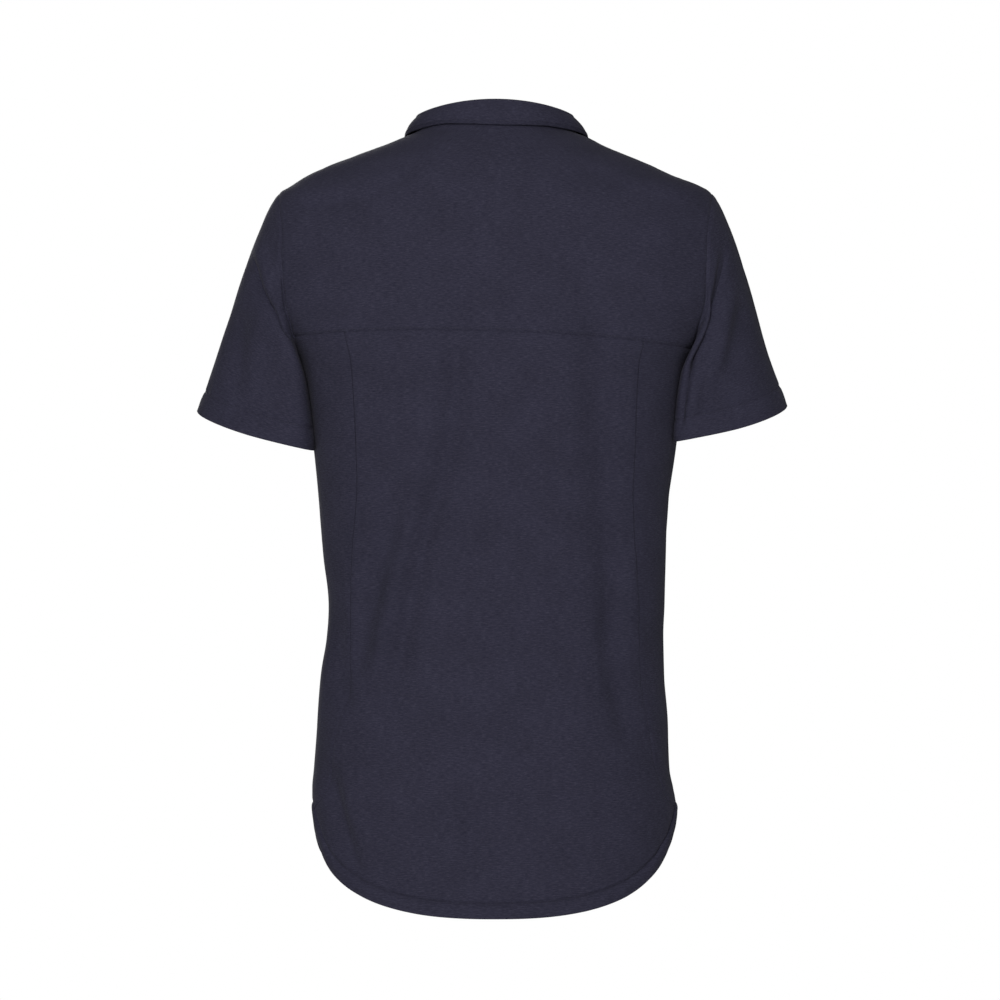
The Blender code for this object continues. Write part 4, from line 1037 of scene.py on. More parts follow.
def jerseyMaterial(name, look, streakLength, streakHeight):
    made, tree, shader = newMaterial(name)
    link = tree.links.new
    uv = addNode(tree, "ShaderNodeUVMap", uv_map="clothMetres")
    group = addNode(tree, "ShaderNodeGroup", node_tree=knit)
    link(uv.outputs[0], group.inputs["Cloth"])
    for socket, value in (("Wale width", look["waleWidth"]), ("Course height", look["courseHeight"]),
                          ("Streak length", streakLength), ("Streak height", streakHeight)):
        group.inputs[socket].default_value = value
    heather = group.outputs["Heather"]
    ramp = rampNode(tree, heather, (0.33, look["dark"]), (0.68, look["light"]), (0.50, look["middle"]))
    tone = rangeNode(tree, group.outputs["Mottle"], 1 - look["mottle"], 1 + look["mottle"])
    mixed = addNode(tree, "ShaderNodeVectorMath", operation="SCALE")
    link(ramp.outputs[0], mixed.inputs[0])
    link(tone.outputs[0], mixed.inputs["Scale"])
    link(mixed.outputs[0], shader.inputs["Base Color"])
    spread = look["roughnessRange"]
    rough = rangeNode(tree, heather, look["roughness"] + spread, look["roughness"] - spread)
    link(rough.outputs[0], shader.inputs["Roughness"])
    height = mathNode(tree, "ADD", group.outputs["Loops"], mathNode(tree, "MULTIPLY", heather, 0.8))
    bump = addNode(tree, "ShaderNodeBump", {"Strength": look["bump"], "Distance": 0.0003})
    link(height, bump.inputs["Height"])
    link(bump.outputs[0], shader.inputs["Normal"])
    shader.inputs["Specular IOR Level"].default_value = look["specular"]
    shader.inputs["Sheen Weight"].default_value = look["sheen"]
    shader.inputs["Sheen Roughness"].default_value = 0.45
    return made


jersey = jerseyMaterial("jerseyHeather", jerseyLook, 0.0065, 0.0009)
collarJersey = jerseyMaterial("jerseyCollar", dict(jerseyLook, bump=0.30), 0.0055, 0.0009)
print("jersey materials made")


# body panels
def bodyOutward(points):
    return points * np.array([1.0, 1.0, 0.0]) + np.array([0.0, 0.0, 0.06])


# marks the border of a grid that is sewn: names of its sewn edges
def sewn(shape, *edges):
    flag = np.zeros(shape)
    for edge in edges:
        if edge == "first":
            flag[0] = 1
        elif edge == "last":
            flag[-1] = 1
        elif edge == "start":
            flag[:, 0] = 1
        else:
            flag[:, -1] = 1
    return flag


def makeYoke():
    parts = []
    for side in (1, -1):
        places = refineColumns(refineRows(yokeHalf(side), 3, 3), 3, 0)
        parts.append(bodyPart(places, side > 0, seam=sewn(places.shape[:2], "first", "last", "start")))
    return clothPiece("yokeCloth", parts, bodyCut["cloth"], bodyOutward, jersey)


def makeBack():
    parts = []
    for side in (1, -1):
        places = refineColumns(refineRows(backHalf(side), 3, 7), 3, 0)
        parts.append(bodyPart(places, side < 0, seam=sewn(places.shape[:2], "first", "start")))
    return clothPiece("backCloth", parts, bodyCut["cloth"], bodyOutward, jersey)


def makeFront():
    parts, edges = [], []
    for side in (1, -1):
        wing, chest, skirt = frontWing(side), chestHalf(side), skirtHalf(side)
        wing = refineRows(wing, 2, 0)
        parts.append(bodyPart(wing, side > 0, True, sewn(wing.shape[:2], "first", "start", "end")))
        parts.append(bodyPart(chest, side > 0, True, sewn(chest.shape[:2], "first", "start")))
        skirt = refineRows(skirt, 0, 6)
        flag = sewn(skirt.shape[:2], "start")
        parts.append(bodyPart(skirt, side > 0, True, flag))
        below = chest[:, -1][chest[:, -1, 1] <= placketCut["slitFoot"] + 1e-6]
        edges.append(np.vstack([below, skirt[1:, -1]]))
    # down the centre front, in angles that run on past half a turn
    middle = (edges[0] + edges[1]) / 2
    middle[:, 0] = math.pi
    left, right = edges[0], edges[1] + np.array([2 * math.pi, 0.0])
    shares = np.linspace(0, 1, 5)
    strip = [left * (1 - t) + middle * t for t in shares] + [middle * (1 - t) + right * t for t in shares[1:]]
    angle, z = np.moveaxis(np.stack(strip, 1), -1, 0)
    angle = np.where(angle > math.pi, angle - 2 * math.pi, angle)
    parts.append(bodyPart(np.stack([angle, z], -1), True, True))
    return clothPiece("frontCloth", parts, bodyCut["cloth"], bodyOutward, jersey)


# sleeves
sleeveCut = {
    "outsetTop": 0.0004,
    "outsetFoot": 0.0019,
    # middle of the cuff, half axis across, half axis from front to back
    1: ((0.2246, -0.012, -0.2735), (0.0554, 0.0, 0.0165), (0.0, 0.0540, -0.0082)),
    -1: ((0.2220, -0.012, -0.2668), (0.0525, 0.0, 0.0145), (0.0, 0.0540, -0.0088)),
    "bodyGap": 0.0009,  # clear of the body cloth under the arm
    "bodyBand": 0.0016,  # how softly it meets that limit
    "bodyBlend": 0.012,  # it starts over this much from the armhole
    "tuck": 0.0045,  # allowance that lies under the panels at the armhole
    "tuckRows": ((1.0, 1.0), (0.5, 0.9), (0.05, 0.5)),  # share of the tuck, share of its depth
    "tuckDepth": (0.0005, 0.0014),
    "edgeBlend": 0.030,  # the panels' small waves fade over this much
    "leaveTop": (0.088, 0.0, -0.114),
    "leaveFoot": (-0.020, 0.0, -0.034),
    "reachTop": (0.085, -0.010, -0.200),
    "reachFoot": (-0.008, -0.003, -0.065),
    "hemDepth": 0.0200,
    "hemGroove": 0.45,  # against the body hem's
    "hemGrooveWidth": 0.0017,
    "hemSwell": 0.5,
    "hemPuckerLength": 0.010,
    "hemPuckerReach": 0.009,
    "seamDip": 0.3,  # against the body seams'
    "allowance": 0.6,
    "puckerLength": 0.009,
    "puckerReach": 0.010,
    "creaseStart": 0.05,  # creases begin over this share of the sleeve
    "cornerBack": 3.4,  # squareness of the section towards the body
    "cornerFront": 2.8,
    "restOnBody": {1: (-0.0060, 0.0120, 0.0), -1: (-0.0100, 0.0140, 0.0)},
    "restTurn": (0.72, 0.50),  # where round the sleeve, in half turns, and how wide in radians
    "restFrom": 0.4,
    # rise, width, height, start and seed of each layer of soft waves
    "waves": ((0.0006, 0.036, 0.05, 10, 0), (0.00025, 0.014, 0.03, 30, 1)),
    "waveStart": 0.02,
    "seeds": {1: 11, -1: 13},
    "middle": (0.21, 0.0, -0.16),
}


def plainSleeve(turn, along, side):
    mirror = np.array([side, 1.0, 1.0])
    topShare = ((1 + np.cos(turn)) / 2)[..., None]
    angle, z = armhole(turn, side)
    outset = sleeveCut["outsetFoot"] + (sleeveCut["outsetTop"] - sleeveCut["outsetFoot"]) * topShare
    start = foldedBody(angle, z) + outset * np.array([side, 0.0, 0.0])
    middle, across, through = (np.array(v) for v in sleeveCut[side])
    sine, cosine = np.sin(turn), np.cos(turn)
    corner = np.where(sine > 0, sleeveCut["cornerBack"], sleeveCut["cornerFront"])
    square = np.where(cosine < 0, corner, 2.0)
    reach = ((np.abs(sine) ** square + np.abs(cosine) ** square) ** (-1 / square))[..., None]
    end = (middle + across * cosine[..., None] * reach + through * sine[..., None] * reach) * mirror

    def between(foot, top):
        low, high = np.array(sleeveCut[foot]), np.array(sleeveCut[top])
        return (low + (high - low) * topShare) * mirror

    t = along[..., None]
    middleTurn, width = sleeveCut["restTurn"]
    resting = bell(turn - middleTurn * math.pi, width)[..., None]
    return (
        resting * smoothStep(t / sleeveCut["restFrom"]) * np.array(sleeveCut["restOnBody"][side]) * mirror
        + start * (1 + 2 * t) * (1 - t) ** 2
        + between("leaveFoot", "leaveTop") * t * (1 - t) ** 2
        + end * t * t * (3 - 2 * t)
        + between("reachFoot", "reachTop") * t * t * (t - 1)
    )


# the cloth under the arm lies against the body and never inside it
def besideBody(points, side):
    x, y, z = points[..., 0] * side, points[..., 1], points[..., 2]
    half = section("left" if side > 0 else "right", z)
    square = section("square", z)
    share = np.clip(1 - (np.abs(y) / halfDepth(y, z)) ** square, 0, 1)
    room = half * share ** (1 / square) + sleeveCut["bodyGap"]
    band = sleeveCut["bodyBand"]
    share = np.clip(0.5 + 0.5 * (x - room) / band, 0, 1)
    pushed = room * (1 - share) + x * share + band * share * (1 - share)
    moved = points.copy()
    moved[..., 0] = side * pushed
    return moved


# a point of one column at a fractional row, and the row before it
def pointAt(grid, column, row):
    k = min(int(row), len(grid) - 2)
    return grid[k, column] * (1 - row + k) + grid[k + 1, column] * (row - k), k


# a sleeve's points, which way is out, and how far folds and creases move them
def sleeveCloth(turn, along, side):
    place = plainSleeve(turn, along, side)
    step = 0.01
    around = plainSleeve(turn + step, along, side) - plainSleeve(turn - step, along, side)
    low, high = np.clip(along - step, 0, 1), np.clip(along + step, 0, 1)
    down = plainSleeve(turn, high, side) - plainSleeve(turn, low, side)
    normal = unit(np.cross(down, around) * side)
    moved = foldHeight(sleeveFolds[side], place[..., 0], place[..., 2], normal[..., 1])
    seenX, seenZ = seenFromBehind(place)
    behind = normal[..., 1] > 0
    x, z = np.where(behind, seenX, place[..., 0]), np.where(behind, seenZ, place[..., 2])
    moved += foldHeight(sleeveCreases[side], x, z, normal[..., 1], foldMake["sleeveEnds"])
    moved *= smoothStep(along / sleeveCut["creaseStart"])
    return place, normal, moved


def makeSleeve(side):
    name = "Left" if side > 0 else "Right"
    behind = np.linspace(0, math.pi, cells["sleeveBackColumns"] + 1)
    turns = np.concatenate([behind, np.linspace(math.pi, 2 * math.pi, cells["sleeveFrontColumns"] + 1)[1:]])
    along = np.linspace(0, 1, cells["sleeveRows"] + 1)
    turnGrid, alongGrid = np.meshgrid(turns, along)
    grids = refineRows(np.stack([turnGrid, alongGrid], -1), 3, 10)
    place, normal, moved = sleeveCloth(grids[..., 0], grids[..., 1], side)
    down = arcs(place)
    fromCuff = down[-1] - down
    ring = np.linalg.norm(np.diff(place, axis=1), axis=-1).mean(0)
    around = np.broadcast_to(np.concatenate([[0], np.cumsum(ring)]), down.shape)
    seed, cut = sleeveCut["seeds"][side], sleeveCut
    for rise, wide, tall, start, number in cut["waves"]:
        waves = softNoise(around / wide + start, down / tall + start, seed + number)
        moved += rise * waves * smoothStep(down / cut["waveStart"])
    middle, width = relief["allowancePlace"]
    moved -= cut["seamDip"] * relief["seamDip"] * bell(down, relief["seamDipWidth"])
    moved += cut["allowance"] * relief["allowance"] * bell(down - middle, width)
    waves = softNoise(around / cut["puckerLength"] + 50, down / 0.02 + 50, seed + 2)
    moved += relief["pucker"] * waves * bell(down, cut["puckerReach"])
    depth = cut["hemDepth"]
    moved -= cut["hemGroove"] * relief["hemGroove"] * bell(fromCuff - depth, cut["hemGrooveWidth"])
    moved += cut["hemSwell"] * relief["hemSwell"] * bell(fromCuff - depth / 2, depth * relief["hemSwellShare"])
    waves = softNoise(around / cut["hemPuckerLength"] + 70, fromCuff / 0.03 + 70, seed + 3)
    moved += relief["hemPucker"] * waves * bell(fromCuff - depth, cut["hemPuckerReach"])
    grid = place + normal * moved[..., None]
    # the start follows the small waves of the panels' edge
    edge = armhole(turns, side)
    grid += (bodyCloth(*edge)[0] - foldedBody(*edge)) * (1 - smoothStep(down / cut["edgeBlend"]))[..., None]
    blend = smoothStep(down / cut["bodyBlend"])[..., None]
    grid = grid * (1 - blend) + besideBody(grid, side) * blend
    # the allowance lies under the edge of the panels
    least, more = cut["tuckDepth"]
    under = []
    for share, depthShare in cut["tuckRows"]:
        below = armhole(turns, side, cut["tuck"] * share)
        under.append(bodyCloth(*below, -least - more * depthShare)[0])
    down = np.array([[0.006], [0.004], [0.002]])  # back from the armhole
    around = np.broadcast_to(around[:1], (len(around) + 3, around.shape[1]))
    fromCuff = np.concatenate([fromCuff[:1] + down, fromCuff])
    normal = np.concatenate([normal[:1]] * 3 + [normal])
    grid = np.concatenate([np.stack(under), grid])
    grid[:, -1] = grid[:, 0]
    uv = np.stack([around, fromCuff], -1) + np.array([1.0 * side, 0.0])
    centre = np.array(cut["middle"]) * np.array([side, 1.0, 1.0])
    parts = [(grid, uv, hemExtra(depth, fromCuff), 0.0, side < 0)]
    piece = clothPiece("sleeve" + name, parts, bodyCut["cloth"], lambda points: points - centre, jersey)
    # the stitched line of the hem
    line, outward = [], []
    for c in range(grid.shape[1]):
        point, k = pointAt(grid, c, np.interp(-depth, -fromCuff[:, c], np.arange(len(fromCuff))))
        line.append(point)
        outward.append(normal[k, c])
    return piece, np.array(line), np.array(outward)


# collar
collarCut = {
    "cloth": 0.0014,
    "height": (0.0128, 0.0105, 0.0220),  # stand behind, at the sides, in front
    "lean": (0.0030, 0.0055, 0.0070),
    "overlap": 0.010,
    "step": 0.0012,  # the left end lies over the right
    "rollRadius": 0.0023,
    "rollGap": 0.0010,
    "rollRise": 0.0017,
    "frontGap": 0.0045,
    "shift": -0.0015,
    "lift": 0.0030,
    "bow": 0.0022,  # the fall's swell between roll and edge
    "edgeStitch": 0.0032,
    "edgeGroove": (0.00035, 0.0010),
    "reliefFrom": (0.006, 0.004),  # past the roll, and over how much
    "edgeHeights": (-0.118, 0.022),  # between which the fall's edge lies
    "wave": 0.0003,
    "waveSeeds": {1: 17, -1: 19},
    "crossFrom": (2.4, 0.5),  # turn at which the ends begin to part for the crossing, and over how much
}
# outer edge from above: turn round the neck, bearing from its middle, distance from it
fallEdgeRows = (
    (0.0, 0.0, 0.0565),
    (11.0, 13.5, 0.0570),
    (35.0, 42.0, 0.0616),
    (55.0, 61.5, 0.0683),
    (75.0, 79.0, 0.0764),
    (90.0, 92.0, 0.0830),
    (104.0, 105.5, 0.0895),
    (118.0, 118.0, 0.0965),
    (138.0, 132.0, 0.1030),
    (158.0, 142.5, 0.1062),
    (176.5, 151.5, 0.1096),
)


def outOfNeck(turn):
    return np.stack([np.sin(turn), np.cos(turn), np.zeros_like(turn)], -1)


def neckPoint(turn):
    x, z = neckline(np.abs(turn))
    x = np.sign(turn) * np.maximum(x, 1e-9)
    angle = np.where(np.cos(turn) >= 0, angleAtX(x, z, True), angleAtX(x, z, False))
    return plainBody(angle, z)


def standPoints(turns, rows):
    inside = np.clip(np.abs(turns), 0, math.pi) * np.sign(turns)
    foot = neckPoint(inside)
    sideShare, behind = np.sin(inside) ** 2, np.cos(inside) > 0

    def eased(name):
        back, side, front = collarCut[name]
        end = np.where(behind, back, front)
        return end + (side - end) * sideShare

    rise = -outOfNeck(inside) * eased("lean")[..., None]
    rise[..., 2] += eased("height")
    past = np.abs(turns) - math.pi
    overrun = np.clip(past, 0, None) * neckCut["halfWidth"]
    foot[:, 0] = np.where(past > 0, -np.sign(turns) * overrun, foot[:, 0])
    crossing, width = collarCut["crossFrom"]
    step = collarCut["step"] * smoothStep((np.abs(turns) - crossing) / width) * np.sign(turns)
    foot += np.array([0.0, -1.0, 0.0]) * step[:, None]
    foot[:, 2] += bodyCut["seamGap"] + bodyCut["wall"] / 2
    return foot[None] + rise[None] * np.linspace(0, 1, rows + 1)[:, None, None]


def collarTurns():
    return np.linspace(0, math.pi - collarCut["frontGap"] / neckCut["halfWidth"], cells["collarColumns"] + 1)


def heightOnBody(x, y):
    low, high = (np.full_like(x, height) for height in collarCut["edgeHeights"])
    for _ in range(40):
        middle = (low + high) / 2
        square = section("square", middle)
        reach = np.abs(x / halfWidth(x, middle)) ** square + np.abs(y / halfDepth(y, middle)) ** square
        outside = reach > 1
        low, high = np.where(outside, low, middle), np.where(outside, middle, high)
    return (low + high) / 2


def fallEdge(turn, side):
    rows = np.array(fallEdgeRows)
    turns = np.radians(rows[:, 0])
    bearing = np.radians(monotone(turns, rows[:, 1], turn))
    reach = monotone(turns, rows[:, 2], turn)
    x, y = side * reach * np.sin(bearing) + collarCut["shift"], reach * np.cos(bearing)
    z = heightOnBody(x, y)
    angle = np.arctan2(x / halfWidth(x, z), y / halfDepth(y, z))
    return plainBody(angle, z) + bodyNormal(angle, z) * collarCut["lift"]


def fallHalf(side):
    turns = collarTurns() * side
    top = standPoints(turns, 2)[-1]
    top[:, 2] += collarCut["rollGap"]
    outward, edge = outOfNeck(turns), fallEdge(np.abs(turns), side)
    rows = []
    radius = collarCut["rollRadius"]
    for angle in np.linspace(0, math.pi, cells["rollRows"] + 1):
        point = top + outward * radius * (1 - math.cos(angle))
        point[:, 2] += collarCut["rollRise"] * min(1.0, 2 * angle / math.pi) + radius * math.sin(angle)
        rows.append(point)
    start = rows[-1]
    for step in np.linspace(0, 1, cells["fallRows"] + 1)[1:]:
        rows.append(start + (edge - start) * step + outward * collarCut["bow"] * math.sin(math.pi * step))
    return np.stack(rows)


# the way out of a half of the collar
def gridNormal(grid, side):
    return unit(np.cross(np.gradient(grid, axis=0), np.gradient(grid, axis=1)) * side)


def makeCollar():
    parts, halves = [], []
    groove, grooveWidth = collarCut["edgeGroove"]
    past, rise = collarCut["reliefFrom"]
    for side in (1, -1):
        grid = fallHalf(side)
        normal = gridNormal(grid, side)
        across, along = arcs(grid, 0), arcs(grid, 1)
        fromEdge = across[-1] - across
        fromEnd = along[:, -1:] - along
        near = np.minimum(fromEdge, fromEnd)
        outer = smoothStep((across - past) / rise)
        waves = softNoise(along / 0.022 + 10, across / 0.02 + 10, collarCut["waveSeeds"][side])
        moved = -groove * outer * bell(near - collarCut["edgeStitch"], grooveWidth)
        moved = moved + collarCut["wave"] * outer * waves
        moved *= smoothStep(along / 0.01) if side < 0 else 1.0
        grid = grid + normal * moved[..., None]
        if side > 0:
            seam = grid[:, 0].copy()
        else:
            grid[:, 0] = seam
        uv = np.stack([side * along[-1:] + 0 * along, -across], -1) + np.array([3.0, 0.0])
        parts.append((grid, uv, 0.0, 0.0, side > 0))
        halves.append(grid)
    outward = lambda points: np.stack([points[:, 0], points[:, 1], 0.04 + 0 * points[:, 2]], -1)
    return clothPiece("collarFall", parts, collarCut["cloth"], outward, collarJersey), halves


def makeStand():
    past = np.linspace(0, collarCut["overlap"] / neckCut["halfWidth"], 8)
    half = np.concatenate([collarTurns()[1:], math.pi + past])
    grid = standPoints(np.concatenate([-half[::-1], [0.0], half]), cells["standRows"])
    length, height = arcs(grid, 1), arcs(grid, 0)
    uv = np.stack([length, height], -1) + np.array([5.0, 0.0])
    outward = lambda points: np.stack([points[:, 0], points[:, 1], 0 * points[:, 2]], -1)
    parts = [(grid, uv, 0.0, 0.0, False)]
    return clothPiece("collarStand", parts, collarCut["cloth"], outward, collarJersey), grid


# placket
def bandGrid(lift):
    z = np.linspace(neckCut["front"] - placketCut["topGap"], placketCut["foot"], cells["bandRows"] + 1)
    x = np.linspace(-placketCut["halfWidth"], placketCut["halfWidth"], 2 * cells["bandColumns"] + 1)
    xGrid, zGrid = np.meshgrid(x, z)
    xGrid = np.where(np.abs(xGrid) < 1e-9, 1e-9, xGrid)
    angle = angleAtX(xGrid, zGrid, False)
    place = plainBody(angle, zGrid)
    groove, width = placketCut["edgeGroove"]
    fromSide = placketCut["halfWidth"] - np.abs(xGrid)
    moved = largeFolds(angle, zGrid, place, lift) - groove * bell(fromSide - placketCut["edgeStitch"], width)
    moved = moved + placketCut["wave"] * softNoise(zGrid / 0.009 + 40, xGrid / 0.01 + 40, 23)
    return place + bodyNormal(angle, zGrid) * moved[..., None], xGrid, zGrid


def makeBand(name, lift):
    grid, x, z = bandGrid(lift)
    uv = np.stack([x, z], -1) + np.array([7.0, 0.0])
    outward = lambda points: np.broadcast_to(np.array([0.0, -1.0, 0.0]), points.shape)
    return clothPiece(name, [(grid, uv, 0.0, 0.0, False)], placketCut["cloth"], outward, collarJersey)


yokePiece, backPiece, frontPiece = makeYoke(), makeBack(), makeFront()
print("body panels made")
(leftSleeve, leftHemLine, leftHemOut), (rightSleeve, rightHemLine, rightHemOut) = makeSleeve(1), makeSleeve(-1)
print("sleeves made")
(fallPiece, fallGrids), (standPiece, standRows) = makeCollar(), makeStand()
bandLift = bodyCut["wall"] / 2 + bodyCut["seamGap"] + placketCut["cloth"] / 2
overBand, underBand = makeBand("placketOver", bandLift), makeBand("placketUnder", -bandLift)
print("collar and placket made")

# stitching
stitchMake = {
    "pitch": 0.0026,
    "length": 0.0021,
    "width": 0.00042,
    "height": 0.00030,
    "wander": 0.07,
    # navy thread, painted darker than the cloth so that the stitch rows carry painted shade of their grooves
    "threadWithGrooveShade": (0.0175, 0.0168, 0.0290, 1),
    "hemPitch": 0.0028,
    "yokeEdge": 0.0022,  # from the yoke seam up to its edge stitch
    "yokeShare": 0.985,  # of the way to the armholes
    "shoulderRadius": 0.075,
    "armGap": 0.002,  # rows end this far from the armhole and from an edge
    "endGap": 0.001,
}
stitchSizes = {
    "Pitch": "pitch",
    "Stitch length": "length",
    "Thread width": "width",
    "Thread height": "height",
    "Wander": "wander",
}


# stitching thread: navy, painted darker than the cloth as the shade in the stitched grooves, with a random tone
# from the noise
def threadMaterial():
    made, tree, shader = newMaterial("navyThreadGrooveShade")
    place = addNode(tree, "ShaderNodeTexCoord")
    noise = addNode(tree, "ShaderNodeTexNoise", {"Scale": 2600.0, "Detail": 1.0})
    tree.links.new(place.outputs["Object"], noise.inputs["Vector"])
    dark, light = (tuple(share * v for v in stitchMake["threadWithGrooveShade"][:3]) + (1,) for share in (0.75, 1.25))
    ramp = rampNode(tree, noise.outputs[0], (0.35, dark), (0.65, light))
    tree.links.new(ramp.outputs[0], shader.inputs["Base Color"])
    shader.inputs["Roughness"].default_value = 0.55
    shader.inputs["Specular IOR Level"].default_value = 0.25
    return made


# the thread material carries painted groove shade: its navy is darker than the cloth's
threadWithGrooveShade = threadMaterial()


# thread laid along a path: the path's points say which way each stitch lies and which way is out
def stitchTree():
    tree = bpy.data.node_groups.new("stitchRow", "GeometryNodeTree")
    face = tree.interface
    face.new_socket("Path", in_out="INPUT", socket_type="NodeSocketGeometry")
    for name, key in stitchSizes.items():
        value = stitchMake[key]
        face.new_socket(name, in_out="INPUT", socket_type="NodeSocketFloat").default_value = value
    face.new_socket("Seed", in_out="INPUT", socket_type="NodeSocketInt").default_value = 1
    face.new_socket("Thread", in_out="INPUT", socket_type="NodeSocketMaterial")
    face.new_socket("Stitches", in_out="OUTPUT", socket_type="NodeSocketGeometry")
    start, end = tree.nodes.new("NodeGroupInput"), tree.nodes.new("NodeGroupOutput")
    curve = tree.nodes.new("GeometryNodeMeshToCurve")
    spaced = tree.nodes.new("GeometryNodeResampleCurve")
    spaced.mode = "LENGTH"
    lay = addNode(tree, "GeometryNodeInputNamedAttribute", {"Name": "lay"}, data_type="FLOAT_VECTOR")
    out = addNode(tree, "GeometryNodeInputNamedAttribute", {"Name": "outward"}, data_type="FLOAT_VECTOR")
    first = addNode(tree, "FunctionNodeAlignRotationToVector", axis="X")
    second = addNode(tree, "FunctionNodeAlignRotationToVector", axis="Z", pivot_axis="X")
    wander = addNode(tree, "FunctionNodeRandomValue", data_type="FLOAT")
    minus = addNode(tree, "ShaderNodeMath", operation="MULTIPLY")
    minus.inputs[1].default_value = -1.0
    turn, spin = tree.nodes.new("ShaderNodeCombineXYZ"), tree.nodes.new("FunctionNodeEulerToRotation")
    turned = addNode(tree, "FunctionNodeRotateRotation", rotation_space="LOCAL")
    ball = addNode(tree, "GeometryNodeMeshUVSphere", {"Segments": 6, "Rings": 4, "Radius": 0.5})
    size, placed = tree.nodes.new("ShaderNodeCombineXYZ"), tree.nodes.new("GeometryNodeInstanceOnPoints")
    real, smooth = tree.nodes.new("GeometryNodeRealizeInstances"), tree.nodes.new("GeometryNodeSetShadeSmooth")
    finish = tree.nodes.new("GeometryNodeSetMaterial")
    given = start.outputs
    for source, target, socket in (
        (given["Path"], curve, 0),
        (curve.outputs[0], spaced, "Curve"),
        (given["Pitch"], spaced, "Length"),
        (lay.outputs[0], first, "Vector"),
        (first.outputs[0], second, "Rotation"),
        (out.outputs[0], second, "Vector"),
        (given["Wander"], minus, 0),
        (minus.outputs[0], wander, 2),
        (given["Wander"], wander, 3),
        (given["Seed"], wander, "Seed"),
        (wander.outputs[1], turn, 2),
        (turn.outputs[0], spin, 0),
        (second.outputs[0], turned, 0),
        (spin.outputs[0], turned, 1),
        (given["Stitch length"], size, 0),
        (given["Thread width"], size, 1),
        (given["Thread height"], size, 2),
        (spaced.outputs[0], placed, "Points"),
        (ball.outputs[0], placed, "Instance"),
        (turned.outputs[0], placed, "Rotation"),
        (size.outputs[0], placed, "Scale"),
        (placed.outputs[0], real, 0),
        (real.outputs[0], smooth, 0),
        (smooth.outputs[0], finish, "Geometry"),
        (given["Thread"], finish, "Material"),
        (finish.outputs[0], end, 0),
    ):
        tree.links.new(source, target.inputs[socket])
    return tree


stitchNodes = stitchTree()


# paths are (points, outward, lay or None, closed); the result is one plain mesh
def stitchPiece(name, paths, seed, **changes):
    points, outs, lays, edges, start = [], [], [], [], 0
    for line, outward, lay, closed in paths:
        count = len(line)
        run = (np.roll(line, -1, 0) - np.roll(line, 1, 0)) if closed else np.gradient(line, axis=0)
        points.append(line)
        outs.append(outward)
        lays.append(unit(run) if lay is None else lay)
        edges += [(start + k, start + k + 1) for k in range(count - 1)]
        if closed:
            edges.append((start + count - 1, start))
        start += count
    path = bpy.data.meshes.new(name + "Path")
    path.from_pydata(np.concatenate(points).tolist(), edges, [])
    for label, values in (("outward", outs), ("lay", lays)):
        layer = path.attributes.new(label, "FLOAT_VECTOR", "POINT")
        layer.data.foreach_set("vector", np.concatenate(values).astype(np.float32).ravel())
    piece = addObject(name, path)
    nodes = piece.modifiers.new("stitches", "NODES")
    nodes.node_group = stitchNodes
    sizes = {label: changes.get(key, stitchMake[key]) for label, key in stitchSizes.items()}
    sizes.update({"Seed": seed, "Thread": threadWithGrooveShade})
    for item in stitchNodes.interface.items_tree:
        if item.item_type == "SOCKET" and item.in_out == "INPUT" and item.name in sizes:
            nodes[item.identifier] = sizes[item.name]
    graph = bpy.context.evaluated_depsgraph_get()
    plain = bpy.data.meshes.new_from_object(piece.evaluated_get(graph))
    piece.modifiers.clear()
    piece.data = plain
    plain.name = name
    bpy.data.meshes.remove(path)
    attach(piece, "root")
    print(name, len(plain.polygons), "faces")
    return piece


def onBody(angle, z, lift=bodyCut["cloth"] / 2):
    place, _ = bodyCloth(angle, z, lift)
    return place, bodyNormal(angle, z)


def bodyPaths():
    paths = {}
    # along the yoke seam, from armhole to armhole
    angles = {side: float(yokeHalf(side)[0, 0, 0]) for side in (1, -1)}
    share = stitchMake["yokeShare"]
    angle = np.linspace(angles[-1] * share, angles[1] * share, 400)
    paths["yoke"] = [(*onBody(*yokeSeamPlaces(angle, stitchMake["yokeEdge"]).T), None, False)]
    for side in (1, -1):
        z = np.linspace(armholeCut["top"] + stitchMake["armGap"], neckCut["side"] - stitchMake["endGap"], 120)
        turn = np.full_like(z, side * (math.pi / 2 - stitchMake["yokeEdge"] / stitchMake["shoulderRadius"]))
        paths["yoke"].append((*onBody(turn, z), None, False))
    # the hem, all round
    angle = np.linspace(-math.pi, math.pi, 2401)[:-1]
    z = hemZ(angle)
    pace = paceAt(angle, z)
    along, rise = pace * (angle[1] - angle[0]), (np.roll(z, -1) - np.roll(z, 1)) / 2
    length = np.hypot(along, rise)
    inward = bodyCut["hemDepth"]
    hemAngle, hemHeight = angle - inward * rise / length / pace, z + inward * along / length
    hemAngle = (hemAngle + math.pi) % (2 * math.pi) - math.pi
    paths["hem"] = [(*onBody(hemAngle, hemHeight), None, True)]
    return paths


lines = bodyPaths()
yokeStitches = stitchPiece("yokeStitches", lines["yoke"], 3)
hemStitches = stitchPiece("hemStitches", lines["hem"], 5, pitch=stitchMake["hemPitch"])


def cuffStitches(name, line, outward, seed):
    line = line[:-1] + outward[:-1] * bodyCut["cloth"] / 2
    return stitchPiece(name, [(line, outward[:-1], None, True)], seed, pitch=stitchMake["hemPitch"])


leftCuffStitches = cuffStitches("leftCuffStitches", leftHemLine, leftHemOut, 7)
rightCuffStitches = cuffStitches("rightCuffStitches", rightHemLine, rightHemOut, 9)


